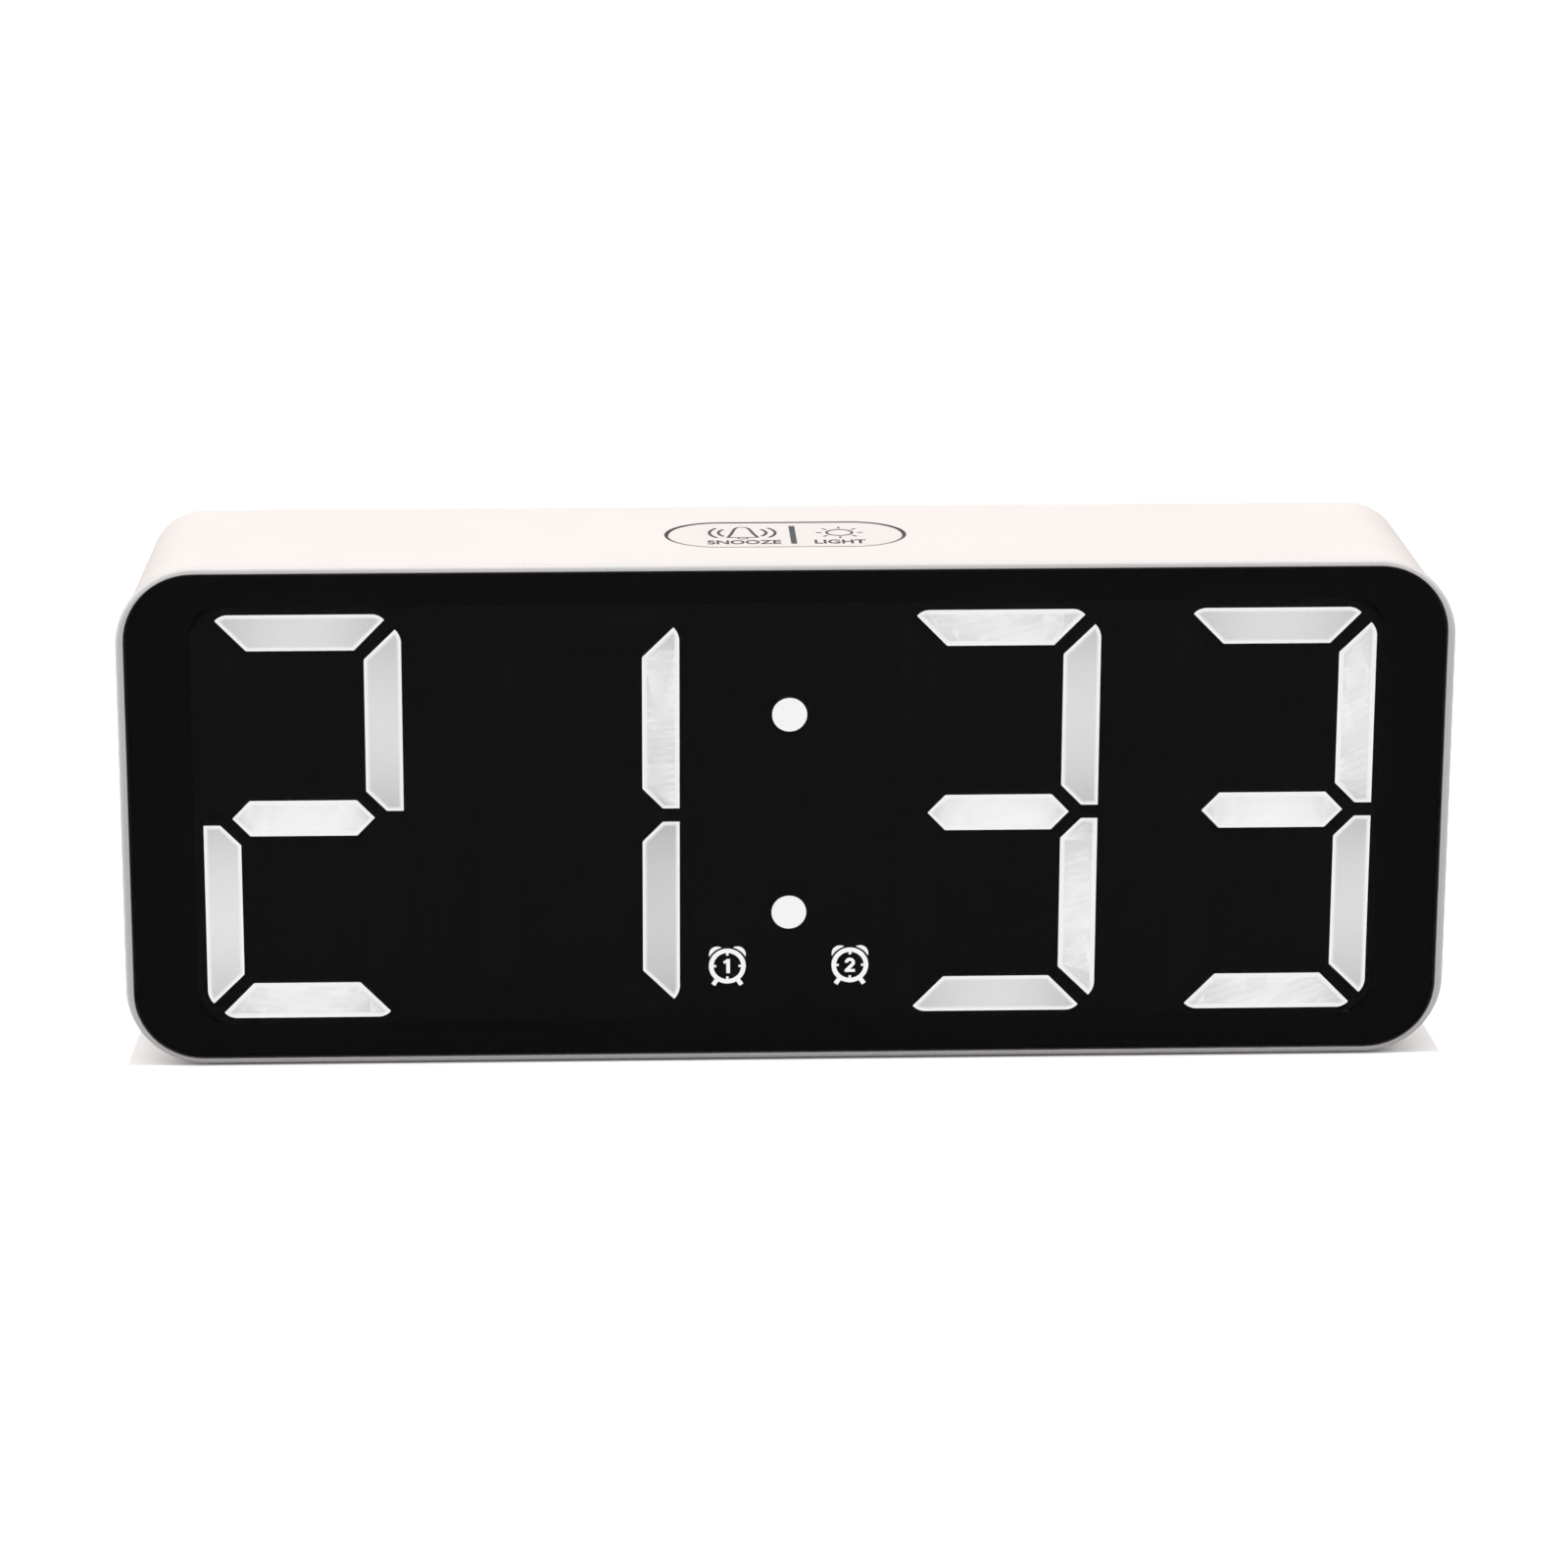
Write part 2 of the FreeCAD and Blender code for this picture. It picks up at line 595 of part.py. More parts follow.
# ------------------------------------------------------------ front and shell
def front_bezel():
    rim = case_block(FRONT, FRONT + RIM_D)
    outer = [e for e in rim.Edges if all(abs(v.Y - FRONT) < TINY for v in e.Vertexes)]
    rim = rim.makeFillet(RIM_ROUND, outer)
    rim = rim.cut(rounded_block(0, MID_Z, LENS_W + 2 * LENS_GAP, LENS_H + 2 * LENS_GAP,
                                LENS_R + LENS_GAP, FRONT - THROUGH, LEDGE_Y))
    rim = rim.cut(rounded_block(0, MID_Z, LEDGE_W, LEDGE_H, LEDGE_R,
                                FRONT - THROUGH, FRONT + RIM_D + THROUGH))
    inset = WALL + SKIRT_GAP
    plate = case_block(FRONT + RIM_D - 0.2, LEDGE_Y + LEDGE_T, inset)
    plate = plate.cut(rounded_block(0, MID_Z, LEDGE_W, LEDGE_H, LEDGE_R,
                                    FRONT, FRONT + SKIRT_D))
    skirt = case_block(LEDGE_Y + LEDGE_T - 0.2, FRONT + SKIRT_D, inset)
    skirt = skirt.cut(case_block(FRONT, FRONT + SKIRT_D + THROUGH, inset + SKIRT_T))
    boss_y = HOUSING_BACK - EAR_T
    bosses = [rod_y(x, z, BOSS_R, LEDGE_Y + BITE, boss_y) for x, z in POST_SPOTS]
    pilots = [rod_y(x, z, PILOT_R, LEDGE_Y + 2 * BITE, boss_y) for x, z in POST_SPOTS]
    body = fuse(rim, plate, skirt, *bosses)
    return cut(body, *pilots)


def display_lens():
    lens = rounded_block(0, MID_Z, LENS_W, LENS_H, LENS_R, FRONT + LENS_RECESS, LEDGE_Y)
    edges = [e for e in lens.Edges
             if all(abs(v.Y - FRONT - LENS_RECESS) < TINY for v in e.Vertexes)]
    return lens.makeChamfer(LENS_CHAMFER, edges)


def back_hole(x, z, length, width, y0=BACK_IN - THROUGH):
    return capsule_y(x, z, length, width, y0, BACK + THROUGH)


def shell_openings():
    """Everything that is cut through the shell's walls."""
    tools = [capsule_z(KEY_X, KEY_Y, KEY_L + 2 * KEY_GAP, KEY_W + 2 * KEY_GAP,
                       KEY_FOOT_Z, KEY_TOP_Z)]
    tools.append(box(BAY_X - DOOR_W / 2, BAY_X + DOOR_W / 2, BACK_IN - THROUGH, BACK + THROUGH,
                     DOOR_Z0, DOOR_Z0 + DOOR_H))
    for x in BUTTON_X:
        tools.append(back_hole(x, BUTTON_Z, BUTTON_L + 2 * BUTTON_GAP, BUTTON_W + 2 * BUTTON_GAP))
    tools.append(back_hole(SOCKET_X, SOCKET_Z, SOCKET_W + 2 * SOCKET_GAP, SOCKET_H + 2 * SOCKET_GAP))
    tools.append(back_hole(SOCKET_X, SOCKET_Z, SOCKET_W + 2 * SOCKET_SEAT,
                           SOCKET_H + 2 * SOCKET_SEAT, BACK - SOCKET_SEAT_D))
    tools.append(back_hole(BAY_X, DOOR_Z0 + DOOR_H, FINGER_L, FINGER_W, BACK - FINGER_D))
    for radius, count, turn in SOUND_RINGS:
        for i in range(count):
            a = math.radians(turn + 360.0 * i / count)
            tools.append(rod_y(BUZZER_X + radius * math.cos(a), BUZZER_Z + radius * math.sin(a),
                               SOUND_HOLE_R, BACK_IN - THROUGH, BACK + THROUGH))
    return tools


def shell_posts():
    """Posts for the case screws and both boards, and the buzzer's collar."""
    foot_y = BACK_IN + BITE
    posts = [rod_y(x, z, POST_R, HOUSING_BACK + POST_CLEAR, foot_y) for x, z in POST_SPOTS]
    posts += [rod_y(x, z, PILLAR_R, MAIN_BACK, foot_y) for x, z in MAIN_POSTS]
    posts += [rod_z(x, KEY_Y, PILLAR_R, KEY_BOARD_TOP, KEY_POST_TOP) for x in KEY_POSTS]
    collar = rod_y(BUZZER_X, BUZZER_Z, BUZZER_R + COLLAR_T, BACK_IN - COLLAR_D, foot_y)
    bore = rod_y(BUZZER_X, BUZZER_Z, BUZZER_R + COLLAR_GAP, BACK_IN - COLLAR_D - THROUGH, BACK_IN)
    return posts + [collar.cut(bore)]


def shell_bores():
    """Screw holes and counterbores in the posts, and the seats of the feet."""
    tools = []
    for x, z in POST_SPOTS:
        tools.append(rod_y(x, z, COUNTERBORE_R, HEAD_SEAT, BACK + THROUGH))
        tools.append(rod_y(x, z, CLEAR_R, HOUSING_BACK, HEAD_SEAT))
    tools += [rod_y(x, z, PILOT_R, MAIN_BACK, MAIN_BACK + PILOT_L) for x, z in MAIN_POSTS]
    tools += [rod_z(x, KEY_Y, PILOT_R, KEY_BOARD_TOP, KEY_BOARD_TOP + PILOT_L)
              for x in KEY_POSTS]
    tools += [rod_z(sx * FOOT_X, y, FOOT_R + FOOT_GAP, 0, FOOT_T)
              for sx in (-1, 1) for y in FOOT_Y]
    return tools


def case_shell():
    y0 = FRONT + RIM_D + PARTING
    outer = case_block(y0, BACK, RIM_STEP)
    back_edges = [e for e in outer.Edges if all(abs(v.Y - BACK) < TINY for v in e.Vertexes)]
    outer = outer.makeFillet(BACK_FILLET, back_edges)
    shell = outer.cut(case_block(y0 - THROUGH, BACK_IN, WALL))
    shell = fuse(shell, *shell_posts())
    return cut(shell, *shell_openings(), *shell_bores())


def foot(x, y):
    pad = rod_z(x, y, FOOT_R, 0, FOOT_T)
    rim = [e for e in pad.Edges if all(abs(v.Z) < TINY for v in e.Vertexes) and e.Length > 1]
    return pad.makeFillet(FOOT_ROUND, rim)


def case_screws():
    return group(screw_y(x, z, HEAD_SEAT, CASE_SCREW_L) for x, z in POST_SPOTS)


# --------------------------------------------------------------- switch parts
def switch_parts(place):
    """Tact switch body and plunger, built upwards from Z = 0 and then put in place."""
    half = SWITCH_W / 2
    body = box(-half, half, -half, half, 0, SWITCH_H)
    upright = [e for e in body.Edges if abs(e.BoundBox.ZLength - SWITCH_H) < TINY]
    body = body.makeFillet(SWITCH_ROUND, upright)
    well = PLUNGER_FOOT - PLUNGER_TRAVEL
    body = body.cut(rod_z(0, 0, PLUNGER_R + PLUNGER_GAP, well, SWITCH_H))
    studs = [rod_z(sx * STUD_AT, sy * STUD_AT, STUD_R, SWITCH_H, SWITCH_H + STUD_T)
             for sx in (-1, 1) for sy in (-1, 1)]
    body = fuse(body, *studs)
    plunger = rod_z(0, 0, PLUNGER_R, PLUNGER_FOOT, PLUNGER_TIP)
    return place(body), place(plunger)


def lay_back(x, z):
    """Stands a piece built along +Z on the back of the main board, along +Y."""
    def place(shape):
        turned = shape.rotated(Vec(0, 0, 0), Vec(1, 0, 0), -90)
        return turned.translated(Vec(x, MAIN_BACK, z))
    return place


def stand_up(shape):
    return shape.translated(Vec(KEY_X, KEY_Y, KEY_BOARD_TOP))


# ---------------------------------------------------------------- snooze key
def key_blank(extra, above):
    """Capsule around the key, cut off parallel to the top of the case."""
    blank = capsule_z(KEY_X, KEY_Y, KEY_L + 2 * extra, KEY_W + 2 * extra, KEY_FOOT_Z, KEY_TOP_Z)
    return blank.common(under_top(above))


def snooze_light_key():
    flange_top = -WALL - KEY_DROP
    below = under_top(flange_top - KEY_FLANGE_T)
    top = key_blank(0.0, -RIM_STEP)
    rim = [e for e in top.Edges if e.BoundBox.ZMin > FOOT_STAND + CASE_H - WALL - KEY_FLANGE_T]
    top = top.makeFillet(KEY_RIM_ROUND, rim).cut(below)
    flange = key_blank(KEY_FLANGE, flange_top).cut(below)
    tip = KEY_BOARD_TOP + PLUNGER_TIP
    cross = [box(KEY_X - a, KEY_X + a, KEY_Y - b, KEY_Y + b, tip, STEM_TOP_Z)
             for a, b in ((STEM_REACH, STEM_HALF_T), (STEM_HALF_T, STEM_REACH))]
    return fuse(top, flange, *cross)


def key_board():
    z0 = KEY_BOARD_TOP - BOARD_T
    board = box(KEY_X - KEY_BOARD_L / 2, KEY_X + KEY_BOARD_L / 2,
                KEY_Y - KEY_BOARD_W / 2, KEY_Y + KEY_BOARD_W / 2, z0, KEY_BOARD_TOP)
    return cut(board, *[rod_z(x, KEY_Y, CLEAR_R, z0, KEY_BOARD_TOP) for x in KEY_POSTS])


def key_board_screws():
    """Screws from below, through the key board into its two posts."""
    def turn_up(x):
        screw = screw_y(0, 0, 0, KEY_SCREW_L, toward=1)
        up = screw.rotated(Vec(0, 0, 0), Vec(1, 0, 0), 90)
        return up.translated(Vec(x, KEY_Y, KEY_BOARD_TOP - BOARD_T))
    return group(turn_up(x) for x in KEY_POSTS)


# -------------------------------------------------------------- back buttons
def back_button(x):
    tip = MAIN_BACK + PLUNGER_TIP
    flange_back = BACK_IN - BUTTON_FLANGE_GAP
    cap = capsule_y(x, BUTTON_Z, BUTTON_L, BUTTON_W, flange_back - BITE / 2, BACK + BUTTON_STAND)
    face = [e for e in cap.Edges if abs(e.BoundBox.YMin - BACK - BUTTON_STAND) < TINY]
    cap = cap.makeFillet(BUTTON_ROUND, face)
    flange = capsule_y(x, BUTTON_Z, BUTTON_L + 2 * BUTTON_FLANGE, BUTTON_W + 2 * BUTTON_FLANGE,
                       flange_back - BUTTON_FLANGE_T, flange_back)
    stem = rod_y(x, BUTTON_Z, BUTTON_STEM_R, tip, flange_back - BITE / 2)
    return fuse(cap, flange, stem)


# ---------------------------------------------------------------- main board
def main_board():
    board = box(MAIN_X[0], MAIN_X[1], MAIN_FRONT, MAIN_BACK, MAIN_Z[0], MAIN_Z[1])
    return cut(board, *[rod_y(x, z, CLEAR_R, MAIN_FRONT, MAIN_BACK) for x, z in MAIN_POSTS])


def main_board_screws():
    return group(screw_y(x, z, MAIN_FRONT, MAIN_SCREW_L, toward=1) for x, z in MAIN_POSTS)


def chip(x, z, w, h, y_board, toward):
    """Flat chip package with two rows of legs."""
    y0, y1 = sorted((y_board + toward * CHIP_STAND, y_board + toward * CHIP_T))
    body = box(x - w / 2, x + w / 2, y0, y1, z - h / 2, z + h / 2)
    l0, l1 = sorted((y_board, y_board + toward * LEG_RISE))
    reach = h / 2 + LEG_REACH
    count = int(w / LEG_PITCH)
    legs = []
    for i in range(count):
        lx = x + (i - (count - 1) / 2) * LEG_PITCH
        legs.append(box(lx - LEG_HALF, lx + LEG_HALF, l0, l1, z - reach, z + reach))
    return fuse(body, *legs)


def power_socket():
    """USB-C receptacle that stands on the main board and opens to the back."""
    y0, y1 = MAIN_BACK, BACK - SOCKET_DEPTH
    shell = capsule_y(SOCKET_X, SOCKET_Z, SOCKET_W, SOCKET_H, y0, y1)
    mouth = capsule_y(SOCKET_X, SOCKET_Z, SOCKET_W - 2 * SOCKET_WALL, SOCKET_H - 2 * SOCKET_WALL,
                      y0 + SOCKET_FLOOR, y1 + THROUGH)
    tongue = box(SOCKET_X - TONGUE_HW, SOCKET_X + TONGUE_HW, y0 + SOCKET_FLOOR - BITE,
                 y1 - TONGUE_IN, SOCKET_Z - TONGUE_HT, SOCKET_Z + TONGUE_HT)
    return fuse(shell.cut(mouth), tongue)


def buzzer():
    can = rod_y(BUZZER_X, BUZZER_Z, BUZZER_R, BACK_IN - BUZZER_T, BACK_IN)
    rim = [e for e in can.Edges if abs(e.BoundBox.YMax - BACK_IN + BUZZER_T) < TINY]
    can = can.makeFillet(BUZZER_ROUND, rim)
    return can.cut(rod_y(BUZZER_X, BUZZER_Z, BUZZER_HOLE_R, BACK_IN - BUZZER_HOLE_D, BACK_IN))


# --------------------------------------------------------------- battery bay
def battery_box():
    x0, x1 = BAY_X - BAY_W / 2, BAY_X + BAY_W / 2
    z0, z1 = BAY_Z - BAY_H / 2, BAY_Z + BAY_H / 2
    door_top = DOOR_Z0 + DOOR_H
    tub = box(x0 - BOX_WALL, x1 + BOX_WALL, BOX_FRONT, BACK_IN, z0 - BOX_WALL, z1 + BOX_WALL)
    flange = box(BAY_X - DOOR_W / 2 - LIP_X, BAY_X + DOOR_W / 2 + LIP_X, BACK_IN - BOX_WALL,
                 BACK_IN, DOOR_Z0 - LIP_Z, door_top + LIP_Z)
    inside = box(x0, x1, BOX_FRONT + BOX_WALL, BACK_IN + THROUGH, z0, z1)
    tab_slots = []
    for dx in TAB_X:
        half = TAB_W / 2 + TAB_GAP
        tab_slots.append(box(BAY_X + dx - half, BAY_X + dx + half, BACK_IN - TAB_SLOT_D,
                             BACK_IN + THROUGH, DOOR_Z0 - LIP_Z - THROUGH, z0 + THROUGH / 10))
    half = LATCH_W / 2 + LATCH_GAP
    latch_slot = box(BAY_X - half, BAY_X + half, BACK_IN - LATCH_SLOT_D, BACK_IN + THROUGH,
                     z1 - THROUGH / 10, door_top + LATCH_ROOM)
    body = cut(fuse(tub, flange), inside, latch_slot, *tab_slots)
    cradle = []
    for i in range(CELLS - 1):
        z = (cell_z(i) + cell_z(i + 1)) / 2
        cradle.append(box(x0 + RIB_IN, x1 - RIB_IN, BOX_FRONT + BITE, BOX_FRONT + BOX_WALL + RIB_H,
                          z - RIB_T / 2, z + RIB_T / 2))
    return fuse(body, *cradle)


def door_hooks(inner):
    """Hooks along the lower edge that reach behind the shell's wall."""
    hooks = []
    for dx in TAB_X:
        a, b = BAY_X + dx - TAB_W / 2, BAY_X + dx + TAB_W / 2
        hooks.append(box(a, b, inner - 1.9, inner + 0.3, DOOR_Z0 + 0.4, DOOR_Z0 + 1.5))
        hooks.append(box(a, b, inner - 1.9, inner - 0.7, DOOR_Z0 - 1.6, DOOR_Z0 + 1.5))
    return hooks


def door_latch(inner, top):
    """Bent tongue with a nose that snaps under the shell, and the grip above it."""
    a, b = BAY_X - LATCH_W / 2, BAY_X + LATCH_W / 2
    deep = inner - 3.2
    return [
        box(a, b, deep, inner + 0.3, top - 3.0, top - 2.2),
        box(a, b, deep, deep + 0.8, top - 3.0, top - 0.6),
        box(a, b, deep, BACK - 0.1, top - 1.4, top - 0.6),
        box(a, b, inner - 1.6, inner - 0.6, top - 0.7, top - 0.2),
        box(a, b, BACK - 0.9, BACK - 0.1, top - 1.9, top - 0.3),
    ]


def battery_door():
    x0, x1 = BAY_X - DOOR_W / 2 + DOOR_GAP, BAY_X + DOOR_W / 2 - DOOR_GAP
    top = DOOR_Z0 + DOOR_H - DOOR_GAP
    inner = BACK - DOOR_T
    plate = fuse(box(x0, x1, inner, BACK, HINGE_Z, top), rod_x(HINGE_Y, HINGE_Z, HINGE_R, x0, x1))
    half = LATCH_W / 2 + NOTCH_GAP
    notch = box(BAY_X - half, BAY_X + half, inner - THROUGH, BACK + THROUGH,
                top - NOTCH_H, top + THROUGH)
    return fuse(plate.cut(notch), *door_hooks(inner), *door_latch(inner, top))


def cell_side(i):
    """+1 when the positive end of cell i points to +X."""
    return 1 if i % 2 == 0 else -1


def cell_z(i):
    return BAY_Z + CELL_SHIFT + (i - 1) * CELL_PITCH


def battery_cell(i):
    """AAA cell with its positive nub, resting against the positive contact."""
    side = cell_side(i)
    z = cell_z(i)
    wall = BAY_X + side * BAY_W / 2
    nub_end = wall - side * PLATE_T
    can_end = nub_end - side * NUB_T
    x0, x1 = sorted((can_end, nub_end - side * CELL_L))
    can = rod_x(CELL_Y, z, CELL_R, x0, x1)
    rims = [e for e in can.Edges if e.BoundBox.XLength < TINY and e.Length > CELL_R]
    can = can.makeFillet(CELL_ROUND, rims)
    n0, n1 = sorted((can_end - side * BITE, nub_end))
    return fuse(can, rod_x(CELL_Y, z, NUB_R, n0, n1))


def contact_plate(i, side):
    """Flat contact at the end wall on the given side of cell i."""
    wall = BAY_X + side * BAY_W / 2
    x0, x1 = sorted((wall, wall - side * PLATE_T))
    z = cell_z(i)
    return box(x0, x1, CELL_Y - PLATE_HALF, CELL_Y + PLATE_HALF, z - PLATE_HALF, z + PLATE_HALF)


def positive_contacts():
    return group(contact_plate(i, cell_side(i)) for i in range(CELLS))


def contact_spring(i, side):
    """Coil spring between the plate and the flat end of cell i."""
    length = BAY_W - CELL_L - 2 * PLATE_T - 2 * SPRING_WIRE - SPRING_PLAY
    helix = Part.makeHelix(length / SPRING_TURNS, length, SPRING_R)
    ring = Part.Wire(Part.makeCircle(SPRING_WIRE, Vec(SPRING_R, 0, 0), Vec(0, 1, 0)))
    coil = Part.Wire(helix.Edges).makePipeShell([ring], True, True)
    turned = coil.rotated(Vec(0, 0, 0), Vec(0, 1, 0), -90 * side)
    start = BAY_X + side * (BAY_W / 2 - PLATE_T - SPRING_WIRE + SPRING_BITE)
    return turned.translated(Vec(start, CELL_Y, cell_z(i)))


def negative_contacts():
    return group(fuse(contact_plate(i, -cell_side(i)), contact_spring(i, -cell_side(i)))
                 for i in range(CELLS))


# ------------------------------------------------------------ wires and ribbon
def display_ribbon():
    """Flat ribbon between the two boards, with one soft step in it."""
    t = RIBBON_T
    r = RIBBON_BEND
    y_a = HOUSING_BACK + BOARD_T
    y_b = MAIN_FRONT
    z_a, z_b = RIBBON_Z
    y_m = (y_a + y_b) / 2
    p = lambda y, z: Vec(RIBBON_X - RIBBON_HALF, y, z)
    s = r * (1 - math.sqrt(0.5))
    q = r + t
    u = q * (1 - math.sqrt(0.5))
    edges = [
        Part.makeLine(p(y_a, z_a), p(y_m - r, z_a)),
        Part.Arc(p(y_m - r, z_a), p(y_m - s, z_a - s), p(y_m, z_a - r)).toShape(),
        Part.makeLine(p(y_m, z_a - r), p(y_m, z_b + q)),
        Part.Arc(p(y_m, z_b + q), p(y_m + u, z_b + u), p(y_m + q, z_b)).toShape(),
        Part.makeLine(p(y_m + q, z_b), p(y_b, z_b)),
        Part.makeLine(p(y_b, z_b), p(y_b, z_b + t)),
        Part.makeLine(p(y_b, z_b + t), p(y_m + q, z_b + t)),
        Part.Arc(p(y_m + q, z_b + t), p(y_m + t + s, z_b + t + s), p(y_m + t, z_b + q)).toShape(),
        Part.makeLine(p(y_m + t, z_b + q), p(y_m + t, z_a - r)),
        Part.Arc(p(y_m + t, z_a - r), p(y_m + t - u, z_a + t - u), p(y_m - r, z_a + t)).toShape(),
        Part.makeLine(p(y_m - r, z_a + t), p(y_a, z_a + t)),
        Part.makeLine(p(y_a, z_a + t), p(y_a, z_a)),
    ]
    return Part.Face(Part.Wire(edges)).extrude(Vec(2 * RIBBON_HALF, 0, 0))


def battery_leads():
    """Two wires from the front of the battery box to the main board."""
    y = -0.5
    paths = [[(20.0, BOX_FRONT, z), (20.0, y, z), (1.0, y, z), (1.0, MAIN_FRONT, z)]
             for z in (24.0, 27.0)]
    return group(lead(path, BATTERY_LEAD_R, LEAD_BEND) for path in paths)


def buzzer_leads():
    """Two short wires from the buzzer to the back of the main board."""
    return group(rod_y(BUZZER_X, BUZZER_Z + dz, BUZZER_LEAD_R, MAIN_BACK, BACK_IN - BUZZER_T)
                 for dz in (-1.5, 1.5))


def key_leads():
    """Two wires from the key board down to the top edge of the main board."""
    y = KEY_Y + 2.5
    paths = [[(x, y, KEY_BOARD_TOP - BOARD_T), (x, y, 41.0), (x, MAIN_FRONT, 41.0)]
             for x in (-9.0, -12.0)]
    return group(lead(path, KEY_LEAD_R, LEAD_BEND) for path in paths)


# --------------------------------------------------------------------- build
def make_nodes():
    nodes = {
        "front_bezel": front_bezel(),
        "display_lens": display_lens(),
        "case_shell": case_shell(),
        "case_screws": case_screws(),
        "segment_housing": segment_housing(),
        "colon_dots": group(colon_dots(GUIDE_T)),
        "alarm_1_icon": alarm_icon(-ICON_X, 1),
        "alarm_2_icon": alarm_icon(ICON_X, 2),
        "icon_centres": group([icon_centre(-ICON_X, 1), icon_centre(ICON_X, 2)]),
        "display_board": display_board(),
        "display_screws": display_screws(),
        "segment_leds": segment_leds(),
        "display_driver": chip(*DRIVER_CHIP, HOUSING_BACK + BOARD_T, 1),
        "main_board": main_board(),
        "main_board_screws": main_board_screws(),
        "clock_chip": chip(*CLOCK_CHIP, MAIN_FRONT, -1),
        "clock_crystal": rod_z(CRYSTAL_X, MAIN_FRONT - CRYSTAL_R, CRYSTAL_R, *CRYSTAL_Z),
        "power_socket": power_socket(),
        "buzzer": buzzer(),
        "battery_box": battery_box(),
        "battery_door": battery_door(),
        "positive_contacts": positive_contacts(),
        "negative_contacts": negative_contacts(),
        "snooze_light_key": snooze_light_key(),
        "key_board": key_board(),
        "key_board_screws": key_board_screws(),
        "display_ribbon": display_ribbon(),
        "battery_leads": battery_leads(),
        "buzzer_leads": buzzer_leads(),
        "key_leads": key_leads(),
    }
    for name, cx in zip(DIGIT_NAMES, DIGIT_X):
        nodes[name + "_segments"] = group(digit_segments(cx, GUIDE_T))
    for i in range(CELLS):
        nodes["battery_cell_%d" % (i + 1)] = battery_cell(i)
    nodes["snooze_switch"], nodes["snooze_plunger"] = switch_parts(stand_up)
    for name, x in zip(BUTTON_NAMES, BUTTON_X):
        nodes[name + "_button"] = back_button(x)
        nodes[name + "_switch"], nodes[name + "_plunger"] = switch_parts(lay_back(x, BUTTON_Z))
    for row, y in zip(("front", "rear"), FOOT_Y):
        for side, sx in (("left", -1), ("right", 1)):
            nodes["foot_%s_%s" % (row, side)] = foot(sx * FOOT_X, y)
    return nodes


def main():
    os.makedirs("parts", exist_ok=True)
    for name, shape in make_nodes().items():
        solids = shape.Solids
        print("%-24s solids %2d  volume %9.2f  valid %s"
              % (name, len(solids), shape.Volume, shape.isValid()))
        if shape.ShapeType == "Compound" and len(solids) == 1:
            shape = solids[0]
        shape.exportStep("parts/%s.step" % name)


main()
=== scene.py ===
"""Looks of the bedside alarm clock: finishes, lit display, printed signs, studio.

Everything is in metres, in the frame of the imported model: X to the right, Y to the
back, Z up, with the clock standing on z = 0.
"""
import bmesh
import bpy
import math
from mathutils import Matrix, Vector


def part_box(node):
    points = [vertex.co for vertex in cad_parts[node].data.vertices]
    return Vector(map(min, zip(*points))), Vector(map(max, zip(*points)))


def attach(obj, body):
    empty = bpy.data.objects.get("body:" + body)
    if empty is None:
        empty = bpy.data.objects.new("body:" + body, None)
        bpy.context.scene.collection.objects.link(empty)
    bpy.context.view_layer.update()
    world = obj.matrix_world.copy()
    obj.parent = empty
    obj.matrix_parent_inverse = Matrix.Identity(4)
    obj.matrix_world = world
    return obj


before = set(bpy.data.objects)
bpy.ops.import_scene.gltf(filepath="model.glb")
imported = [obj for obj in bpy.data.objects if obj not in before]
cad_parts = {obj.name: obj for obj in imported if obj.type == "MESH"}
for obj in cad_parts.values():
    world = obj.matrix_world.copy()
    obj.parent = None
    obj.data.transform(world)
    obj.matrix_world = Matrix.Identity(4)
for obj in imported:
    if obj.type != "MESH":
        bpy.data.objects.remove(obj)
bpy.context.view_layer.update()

MM = 0.001

# ------------------------------------------------------------------- camera
CAMERA_LENS = 135.77                    # millimetres, on a 36 mm sensor
CAMERA_DISTANCE = 710.9 * MM
CAMERA_ELEVATION = math.radians(17.9)
CAMERA_YAW = math.radians(2.35)         # the camera stands a little to the left
CAMERA_ROLL = math.radians(0.22)
AIM_RIGHT = -0.44 * MM                  # aim point, from the middle of the lens
AIM_UP = 3.68 * MM

# ------------------------------------------------------------------ display
TIME = "2133"
DIGITS = ("hours_tens", "hours_units", "minutes_tens", "minutes_units")
SEGMENTS_OF = {"1": "bc", "2": "abdeg", "3": "abcdg"}
GLOW_GAP = 0.05 * MM                    # lit film in front of the light guides
GLOW_THICK = 0.03 * MM
GLOW_RIM = 0.28 * MM                    # bright rim of a lit segment
GLOW_FADE = 0.3 * MM
GLOW_RIM_SHARE = 0.85                   # what is left of the rim's extra light where it starts to fade
GLOW_STEPS = (-0.75, -0.5, -0.25, 0.0, 0.25, 0.5, 0.75)   # along a segment, tip to tip
GLOW_DROP = 0.24                        # loss of brightness at the tips
LED_LEVEL = {"g": 1.12, "e": 1.06}      # segments that shine brighter than the others
DIGIT_LEVEL = {"hours_units": 0.88}     # one digit is a little weaker
LENS_TINT = 0.06                        # share of the light that the lens passes
GLOW_INNER = 0.76 / LENS_TINT           # so that it shows as 0.76 through the lens
GLOW_OUTER = 0.97 / LENS_TINT
FACES_FRONT = -0.99                     # a front face's normal has at most this Y
SAME_PLANE = 0.01 * MM
SAME_POINT = 0.001 * MM

MASK_INSET = 0.25 * MM
MASK_CORNER = 8.2 * MM
MASK_WINDOW = (142.4 * MM, 52.6 * MM)
WINDOW_CORNER = 3.0 * MM
MASK_THICK = 0.02 * MM

